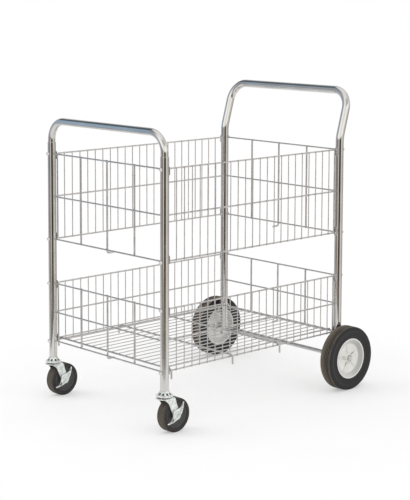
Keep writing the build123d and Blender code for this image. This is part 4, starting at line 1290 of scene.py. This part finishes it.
class TROLLEY_OT_corner_screws(bpy.types.Operator):
    """Makes the domed corner screws and their washers"""
    bl_idname = "trolley.corner_screws"
    bl_label = "Corner screws"

    def execute(self, context):
        screws, washers = Shape(), Shape()
        rise = SCREW_HEAD_HEIGHT - SCREW_HEAD_EDGE
        dome = (rise ** 2 + SCREW_HEAD_RADIUS ** 2) / (2 * rise)
        sweep_angle = math.asin(SCREW_HEAD_RADIUS / dome)
        tip = -(WASHER_THICKNESS + 2 * POST_RADIUS + TAB_THICKNESS + 1.5 * MM)
        profile = [(tip, 0), (tip, SCREW_RADIUS - 0.6 * MM), (tip + 0.8 * MM, SCREW_RADIUS),
                   (0, SCREW_RADIUS), (0, SCREW_HEAD_RADIUS - 0.3 * MM), (0.3 * MM, SCREW_HEAD_RADIUS),
                   (SCREW_HEAD_EDGE - 0.2 * MM, SCREW_HEAD_RADIUS)]
        for step in range(9):
            angle = sweep_angle * (1 - step / 8)
            profile.append((SCREW_HEAD_HEIGHT - dome * (1 - math.cos(angle)), dome * math.sin(angle)))
        profile[-1] = (SCREW_HEAD_HEIGHT, 0)
        ring = rounded([(0, SCREW_RADIUS + 0.2 * MM), (WASHER_THICKNESS, SCREW_RADIUS + 0.2 * MM),
                        (WASHER_THICKNESS, WASHER_RADIUS), (0, WASHER_RADIUS)], 0.25 * MM, 2)
        for x, y, z, out in screw_places():
            face = y + out * POST_RADIUS
            lathe(screws, profile, (x, face + out * WASHER_THICKNESS, z), (0, out, 0), 28)
            lathe(washers, ring, (x, face, z), (0, out, 0), 28)
        screws.piece("domed_corner_screws", "frame", finishes("screw_plating"), ["corner_screws"],
                     "screw_steel")
        washers.piece("corner_screw_washers", "frame", finishes("weld_plating"), ["corner_washers"],
                      "screw_steel")
        return {"FINISHED"}


class TROLLEY_OT_rear_axle(bpy.types.Operator):
    """Dresses the rear axle, its spacers and washers, and makes the domed caps"""
    bl_idname = "trolley.rear_axle"
    bl_label = "Rear axle"

    def execute(self, context):
        dress("rear_axle", "axle_steel_drawn")
        dress("rear_spacers", "axle_steel_drawn")
        dress("rear_washers", "wire_plating")
        caps = Shape()
        radius, end = span("axle_caps").z / 2, high("axle_caps").x
        bore = AXLE_RADIUS + FIT_GAP
        profile = rounded([(-4.0 * MM, bore), (-4.0 * MM, radius), (-1.2 * MM, radius),
                           (0, radius - 3.5 * MM), (0, 0), (-1.2 * MM, 0), (-1.2 * MM, bore)],
                          [0, 0.3 * MM, 1.2 * MM, 2.5 * MM, 0, 0, 0], 4)
        for side in (1, -1):
            lathe(caps, profile, (side * end, REAR_Y, REAR_WHEEL.z), (side, 0, 0), 40)
        caps.piece("domed_axle_caps", "frame", finishes("cap_zinc"), ["axle_caps"], "axle_steel")
        for word, _ in SIDES:
            dress(f"rear_bush_{word}", "bush_moulding")
        return {"FINISHED"}


class TROLLEY_OT_rear_wheels(bpy.types.Operator):
    """Makes the grooved rear tyres and their dished, ribbed centres"""
    bl_idname = "trolley.rear_wheels"
    bl_label = "Rear wheels"

    def execute(self, context):
        segments = context.scene.trolley_sizes.wheel_segments
        for word, side in SIDES:
            centre = Vector((side * REAR_WHEEL.x, REAR_Y, REAR_WHEEL.z))
            tyre = Shape()
            lathe(tyre, self.tyre_profile(), centre, (1, 0, 0), segments)
            tyre.piece(f"grooved_tyre_{word}", f"rear_wheel_{word}", finishes("rear_tyre_rubber"),
                       [f"rear_tyre_{word}"], "rear_rubber", sharp=60)
            rim = Shape()
            self.add_rim(rim, centre, segments)
            rim.piece(f"dished_rim_{word}", f"rear_wheel_{word}", finishes("rim_moulding"),
                      [f"rear_rim_{word}"], "rear_rim_plastic")
        return {"FINISHED"}

    @staticmethod
    def tyre_profile():
        """The tyre's section, from the inner foot over one side, the tread and the other."""
        half = REAR_WHEEL_WIDTH / 2
        outer = REAR_WHEEL_RADIUS
        seat, rim, bead = 59.05 * MM, 64.75 * MM, 71 * MM
        groove_half, groove_depth, shoulder = 1.3 * MM, 2.0 * MM, 10.5 * MM
        side_wall = [
            (half - 7.25 * MM, seat), (half - 7.25 * MM, rim), (half - 2.2 * MM, rim),
            (half - 1.1 * MM, bead - 3 * MM), (half - 2.6 * MM, bead), (half - 2.7 * MM, bead + 4 * MM),
            (half - 1.6 * MM, outer - 18 * MM), (half, outer - 13 * MM), (half, outer)]
        radii = [0, 0, 0.3 * MM, 1.2 * MM, 1.5 * MM, 1 * MM, 1.5 * MM, 2.5 * MM, shoulder]
        right = rounded([*side_wall, (0, outer)], [*radii, 0], 9, closed=False)[:-1]
        pitch = 2 * (half - shoulder) / TREAD_GROOVE_COUNT
        lip = 0.5 * MM
        tread = []
        for number in range(TREAD_GROOVE_COUNT):
            across = half - shoulder - (number + 0.5) * pitch
            tread += [(across + groove_half + lip, outer), (across + groove_half, outer - lip),
                      (across + groove_half - lip, outer - groove_depth),
                      (across - groove_half + lip, outer - groove_depth),
                      (across - groove_half, outer - lip), (across - groove_half - lip, outer)]
        left = [Vector((-point.x, point.y)) for point in reversed(right)]
        return [tuple(point) for point in [*right, *(Vector(point) for point in tread), *left]]

    @staticmethod
    def add_rim(rim, centre, segments):
        half = REAR_WHEEL_WIDTH / 2
        lip = half - 2.2 * MM
        dish = lip - 11.5 * MM
        hub, rise = 15 * MM, 6 * MM
        bore = AXLE_RADIUS + FIT_GAP + 3 * MM
        outside = [(lip - 5 * MM, 59 * MM), (lip - 5 * MM, 64.7 * MM), (lip, 64.7 * MM), (lip, 62.2 * MM),
                   (lip - 2.5 * MM, 58 * MM), (dish, 45 * MM), (dish, hub + 3 * MM), (dish + rise, hub),
                   (dish + rise, bore)]
        radii = [0, 0, 0.8 * MM, 1.2 * MM, 2.5 * MM, 6 * MM, 2.5 * MM, 1.4 * MM, 0.6 * MM]
        right = rounded(outside, radii, 5, closed=False)
        left = [Vector((-point.x, point.y)) for point in reversed(right)]
        lathe(rim, [tuple(point) for point in [*left, *right]], centre, (1, 0, 0), segments)
        start, end, reach = 17 * MM, 45 * MM, 2.4 * MM
        outline = rounded([(start, -reach), (end, -reach), (end, reach), (start, reach)], reach * 0.99, 6)
        for face in (1, -1):
            for number in range(RIB_COUNT):
                angle = math.tau * number / RIB_COUNT + RIB_TURN
                along = Vector((0, math.cos(angle), math.sin(angle)))
                across = Vector((face, 0, 0)).cross(along)
                base = centre + Vector((face * (dish - 0.5 * MM), 0, 0))
                plate(rim, outline, [], 3.2 * MM, 0.9 * MM, placing(base, along, across))


class TROLLEY_OT_caster_mounts(bpy.types.Operator):
    """Makes each caster's upper race with its scalloped collar, and dresses its stem"""
    bl_idname = "trolley.caster_mounts"
    bl_label = "Caster mounts"

    def execute(self, context):
        for word, side in SIDES:
            node = f"caster_top_plate_{word}"
            race = Shape()
            self.add_race(race, (side * POST_X, FRONT_Y, 0), low(node).z, high(node).z, span(node).x / 2)
            race.piece(f"caster_race_{word}", "frame",
                       finishes("painted_highlight_zinc", "pressed_zinc", "painted_shade_zinc"),
                       [node], "caster_zinc")
            dress(f"caster_stem_{word}", "axle_steel_drawn")
            dress(f"caster_socket_{word}", "pressed_zinc")
        return {"FINISHED"}

    @staticmethod
    def add_race(race, place, foot, top, radius):
        """A flat ring in painted highlight, and on it a crimped collar with painted shade in the hollows
        between its lobes.
        """
        under = foot + 4.5 * MM
        face = under + 1.9 * MM
        disc, collar = radius - 2.9 * MM, radius - 7.6 * MM
        flat = rounded([(under, 5.55 * MM), (under, disc), (face, disc), (face, 5.55 * MM)],
                       [0, 0.7 * MM, 0.7 * MM, 0], 4)
        lathe(race, flat, place, (0, 0, 1), 96)
        crimped = rounded([(face - 0.2 * MM, 6 * MM), (face - 0.2 * MM, collar), (face + 2.0 * MM, collar),
                           (face + 4.4 * MM, collar - 2.4 * MM), (top - 4.0 * MM, collar - 5.6 * MM),
                           (top, collar - 6.2 * MM), (top, 6 * MM)],
                          [0, 0.4 * MM, 1.0 * MM, 1.6 * MM, 1.4 * MM, 0.8 * MM, 0], 5)
        lobes = {number for number, point in enumerate(crimped)
                 if point.x > face + 2.2 * MM and collar - 5.6 * MM < point.y < collar - 0.2 * MM}

        def hollow(angle):
            """How far an angle is towards the hollow between two lobes, from 0 to 1."""
            return 0.5 - 0.5 * math.cos(COLLAR_LOBES * angle)

        def ripple(number, angle):
            return -LOBE_DEPTH * hollow(angle) ** 3 if number in lobes else 0

        start = len(race.faces)
        lathe(race, crimped, place, (0, 0, 1), COLLAR_SEGMENTS, slot=1, ripple=ripple)
        # Faces deep in the hollows between the lobes take painted shade
        for number in range(start, len(race.faces)):
            level, step = divmod(number - start, COLLAR_SEGMENTS)
            angle = math.tau * (step + 0.5) / COLLAR_SEGMENTS
            if level in lobes and level + 1 in lobes and hollow(angle) > LOBE_HOLLOW_SHARE:
                race.slots[number] = 2


class TROLLEY_OT_caster_forks(bpy.types.Operator):
    """Makes the pressed forks, and dresses their balls, bolts, nuts, sleeves and rivets"""
    bl_idname = "trolley.caster_forks"
    bl_label = "Caster forks"

    def execute(self, context):
        edge = context.scene.trolley_sizes.edge_break
        for word, side in SIDES:
            fork = Shape()
            self.add_fork(fork, Vector((side * POST_X, FRONT_Y, 0)))
            item = fork.piece(f"pressed_fork_{word}", f"caster_swivel_{word}",
                              finishes("pressed_zinc", "painted_shade_zinc"),
                              [f"caster_fork_{word}"], "caster_zinc")
            break_edges(item, edge)
            dress(f"caster_balls_{word}", "axle_steel_drawn")
            dress(f"caster_bolt_{word}", "screw_plating", edge)
            dress(f"caster_nut_{word}", "screw_plating", edge)
            dress(f"caster_bush_{word}", "bush_moulding")
            dress(f"brake_pivot_{word}", "screw_plating", edge / 2)
        return {"FINISHED"}

    @staticmethod
    def add_fork(fork, origin):
        """One pressed sheet: up one leg, over the round crown and down the other leg."""
        top, crown = high("caster_fork_right").z, span("caster_fork_right").x / 2
        thick, outer, bend, foot = 2.6 * MM, LEG_OUTER, 5 * MM, 12 * MM
        trail, axle = CASTER_WHEEL.y - FRONT_Y, CASTER_WHEEL.z
        front = rounded([(share * trail, axle + rise * (top - axle)) for share, rise in LEG_FRONT_SHARES],
                        20 * MM, 6, closed=False)
        back = rounded([(share * trail, axle + rise * (top - axle)) for share, rise in LEG_BACK_SHARES],
                       40 * MM, 6, closed=False)

        def leg_edges(z):
            """The front and back of a leg at a height, with its round foot."""
            edges = [place_at(line, z) for line in (front, back)]
            if abs(z - axle) < foot:
                reach = math.sqrt(foot ** 2 - (z - axle) ** 2)
                if z < axle - foot / 2:
                    return trail - reach, trail + reach
                edges = [min(edges[0], trail - reach), max(edges[1], trail + reach)]
            return edges

        start = top - bend
        rows = []
        for step in range(11):
            z = axle - foot * math.cos(math.radians(9 + 9 * step))
            rows.append((outer, z, 1, 0, leg_edges(z)))
        low_z = rows[-1][1]
        for step in range(1, 17):
            z = low_z + (start - low_z) * step / 16
            rows.append((outer, z, 1, 0, leg_edges(z)))
        leg_top = leg_edges(start)
        inner_x = outer - bend
        reach = math.sqrt(crown ** 2 - inner_x ** 2)
        for step in range(1, 7):
            share = step / 6
            angle = share * math.pi / 2
            edges = (leg_top[0] + (-reach - leg_top[0]) * share, leg_top[1] + (reach - leg_top[1]) * share)
            rows.append((inner_x + bend * math.cos(angle), start + bend * math.sin(angle),
                         math.cos(angle), math.sin(angle), edges))
        for step in range(1, 7):
            x = inner_x * (1 - step / 6)
            reach = math.sqrt(crown ** 2 - x ** 2)
            rows.append((x, top, 0, 1, (-reach, reach)))
        rows += [(-x, z, -across, up, edges) for x, z, across, up, edges in reversed(rows[:-1])]
        count = 9
        verts, rings = [], []
        for x, z, across, up, (near, far) in rows:
            rings.append(list(range(len(verts), len(verts) + 2 * count)))
            shares = [number / (count - 1) for number in range(count)]
            for depth, order in ((0, shares), (thick, reversed(shares))):
                for share in order:
                    y = near + (far - near) * share
                    verts.append(origin + Vector((x - across * depth, y, z - up * depth)))
        faces = skin(rings, 2 * count)
        fork.add(verts, faces)
        # The sheet's inside faces take painted shade
        inside = range(count, 2 * count - 1)
        fork.slots = [int(number % (2 * count) in inside and number < len(faces) - 2)
                      for number in range(len(faces))]


class TROLLEY_OT_caster_wheels(bpy.types.Operator):
    """Makes the caster wheels: a hard centre and a smooth rubber tyre"""
    bl_idname = "trolley.caster_wheels"
    bl_label = "Caster wheels"

    def execute(self, context):
        segments = context.scene.trolley_sizes.wheel_segments
        half, outer = CASTER_WHEEL_WIDTH / 2, CASTER_WHEEL_RADIUS
        for word, side in SIDES:
            centre = Vector((side * CASTER_WHEEL.x, CASTER_WHEEL.y, CASTER_WHEEL.z))
            outside = [(half - 1.5 * MM, CASTER_CORE_RADIUS), (half, outer - 7 * MM), (half, outer)]
            right = rounded([*outside, (0, outer)], [0, 1.5 * MM, 4.8 * MM, 0], 6, closed=False)
            left = [Vector((-point.x, point.y)) for point in reversed(right[:-1])]
            tyre = Shape()
            lathe(tyre, [tuple(point) for point in [*right, *left]], centre, (1, 0, 0), segments)
            tyre.piece(f"caster_tyre_smooth_{word}", f"caster_wheel_{word}",
                       finishes("caster_tyre_rubber"), [f"caster_tyre_{word}"], "caster_rubber")
            hub = span(f"caster_core_{word}").x / 2
            boss = 9.2 * MM
            outside = [(half - 1.5 * MM, CASTER_CORE_RADIUS), (half - 1.5 * MM, 34 * MM),
                       (half - 4.5 * MM, 31 * MM), (half - 4.5 * MM, boss), (hub - 1 * MM, boss),
                       (hub, boss - 1 * MM), (hub, 6.05 * MM)]
            radii = [0, 0.6 * MM, 1.5 * MM, 1.2 * MM, 0.4 * MM, 0.4 * MM, 0.2 * MM]
            right = rounded(outside, radii, 4, closed=False)
            left = [Vector((-point.x, point.y)) for point in reversed(right)]
            core = Shape()
            lathe(core, [tuple(point) for point in [*left, *right]], centre, (1, 0, 0), segments)
            core.piece(f"caster_centre_{word}", f"caster_wheel_{word}", finishes("caster_core_moulding"),
                       [f"caster_core_{word}"], "caster_core_plastic")
        return {"FINISHED"}


class TROLLEY_OT_brake_levers(bpy.types.Operator):
    """Makes the crescent brake levers, with a flange along the outer edge"""
    bl_idname = "trolley.brake_levers"
    bl_label = "Brake levers"

    def execute(self, context):
        for word, side in SIDES:
            lever = Shape()
            self.add_lever(lever, low(f"brake_lever_{word}").x, span(f"brake_lever_{word}").x)
            item = lever.piece(f"crescent_lever_{word}", f"brake_lever_body_{word}",
                               finishes("pressed_zinc", "painted_highlight_zinc", "painted_shade_zinc"),
                               [f"brake_lever_{word}"], "caster_zinc")
            break_edges(item, context.scene.trolley_sizes.edge_break)
        return {"FINISHED"}

    @staticmethod
    def add_lever(lever, inner_x, flange):
        """Sections of plate, flange and inner lip, carried along the outer arc."""
        stations, thick = 40, LEVER_THICKNESS
        tip, middle_width = LEVER_WIDTHS
        centre = Vector((0, FRONT_Y + LEVER_CENTRE[0], LEVER_CENTRE[1]))
        verts, rings = [], []
        for number in range(stations + 1):
            share = number / stations
            angle = math.radians(LEVER_TURN[0] + (LEVER_TURN[1] - LEVER_TURN[0]) * share)
            swell = math.sin(math.pi * share)
            width = tip + (middle_width - tip) * swell ** 3.0
            rise = flange * (0.34 + 0.66 * swell ** 1.4)
            lip = thick + max(0.05 * MM, 2.2 * MM * (1 - share / 0.36) * min(1, 12 * share))
            edge = LEVER_RADIUS
            section = [(edge - width, 0), (edge, 0), (edge, rise), (edge - thick * 0.8, rise),
                       (edge - thick * 0.8, thick), (edge - width + 1.4 * MM, thick),
                       (edge - width + 1.4 * MM, lip), (edge - width, lip)]
            out = Vector((0, math.cos(angle), math.sin(angle)))
            rings.append(list(range(len(verts), len(verts) + len(section))))
            verts.extend(centre + out * reach + Vector((inner_x + x, 0, 0)) for reach, x in section)
        faces = skin(rings, len(section))
        lever.add(verts, faces)
        # The flange's rim and inner face and the lip's rim take painted highlight; the plate's face near
        # the horns takes painted shade
        for number in range(len(faces) - 2):
            share, step = number // len(section) / stations, number % len(section)
            if step in (2, 3, 6):
                lever.slots[number] = 1
            elif step == 4 and not 0.25 < share < 0.84:
                lever.slots[number] = 2


OPERATORS = (
    TROLLEY_OT_stage, TROLLEY_OT_tubes, TROLLEY_OT_end_panels, TROLLEY_OT_side_panels, TROLLEY_OT_deck,
    TROLLEY_OT_corner_screws, TROLLEY_OT_rear_axle, TROLLEY_OT_rear_wheels, TROLLEY_OT_caster_mounts,
    TROLLEY_OT_caster_forks, TROLLEY_OT_caster_wheels, TROLLEY_OT_brake_levers,
)


class TROLLEY_PT_panel(bpy.types.Panel):
    """Lists the trolley's pieces, sizes and colours"""
    bl_idname = "TROLLEY_PT_panel"
    bl_label = "Wire Shelf Trolley"
    bl_space_type = "VIEW_3D"
    bl_region_type = "UI"
    bl_category = "Trolley"

    def draw(self, context):
        for operator in OPERATORS:
            self.layout.operator(operator.bl_idname)
        for group in (context.scene.trolley_sizes, context.scene.trolley_finishes):
            box = self.layout.box()
            for name in group.bl_rna.properties.keys():
                if name not in ("name", "rna_type"):
                    box.prop(group, name)


CLASSES = (TrolleySizes, TrolleyFinishes, *OPERATORS, TROLLEY_PT_panel)


def register():
    for item in CLASSES:
        bpy.utils.register_class(item)
    bpy.types.Scene.trolley_sizes = PointerProperty(type=TrolleySizes)
    bpy.types.Scene.trolley_finishes = PointerProperty(type=TrolleyFinishes)


def unregister():
    del bpy.types.Scene.trolley_finishes
    del bpy.types.Scene.trolley_sizes
    for item in reversed(CLASSES):
        bpy.utils.unregister_class(item)


def main():
    register()
    for operator in OPERATORS:
        group, name = operator.bl_idname.split(".")
        getattr(getattr(bpy.ops, group), name)()
    bpy.context.view_layer.update()


if __name__ == "__main__":
    main()
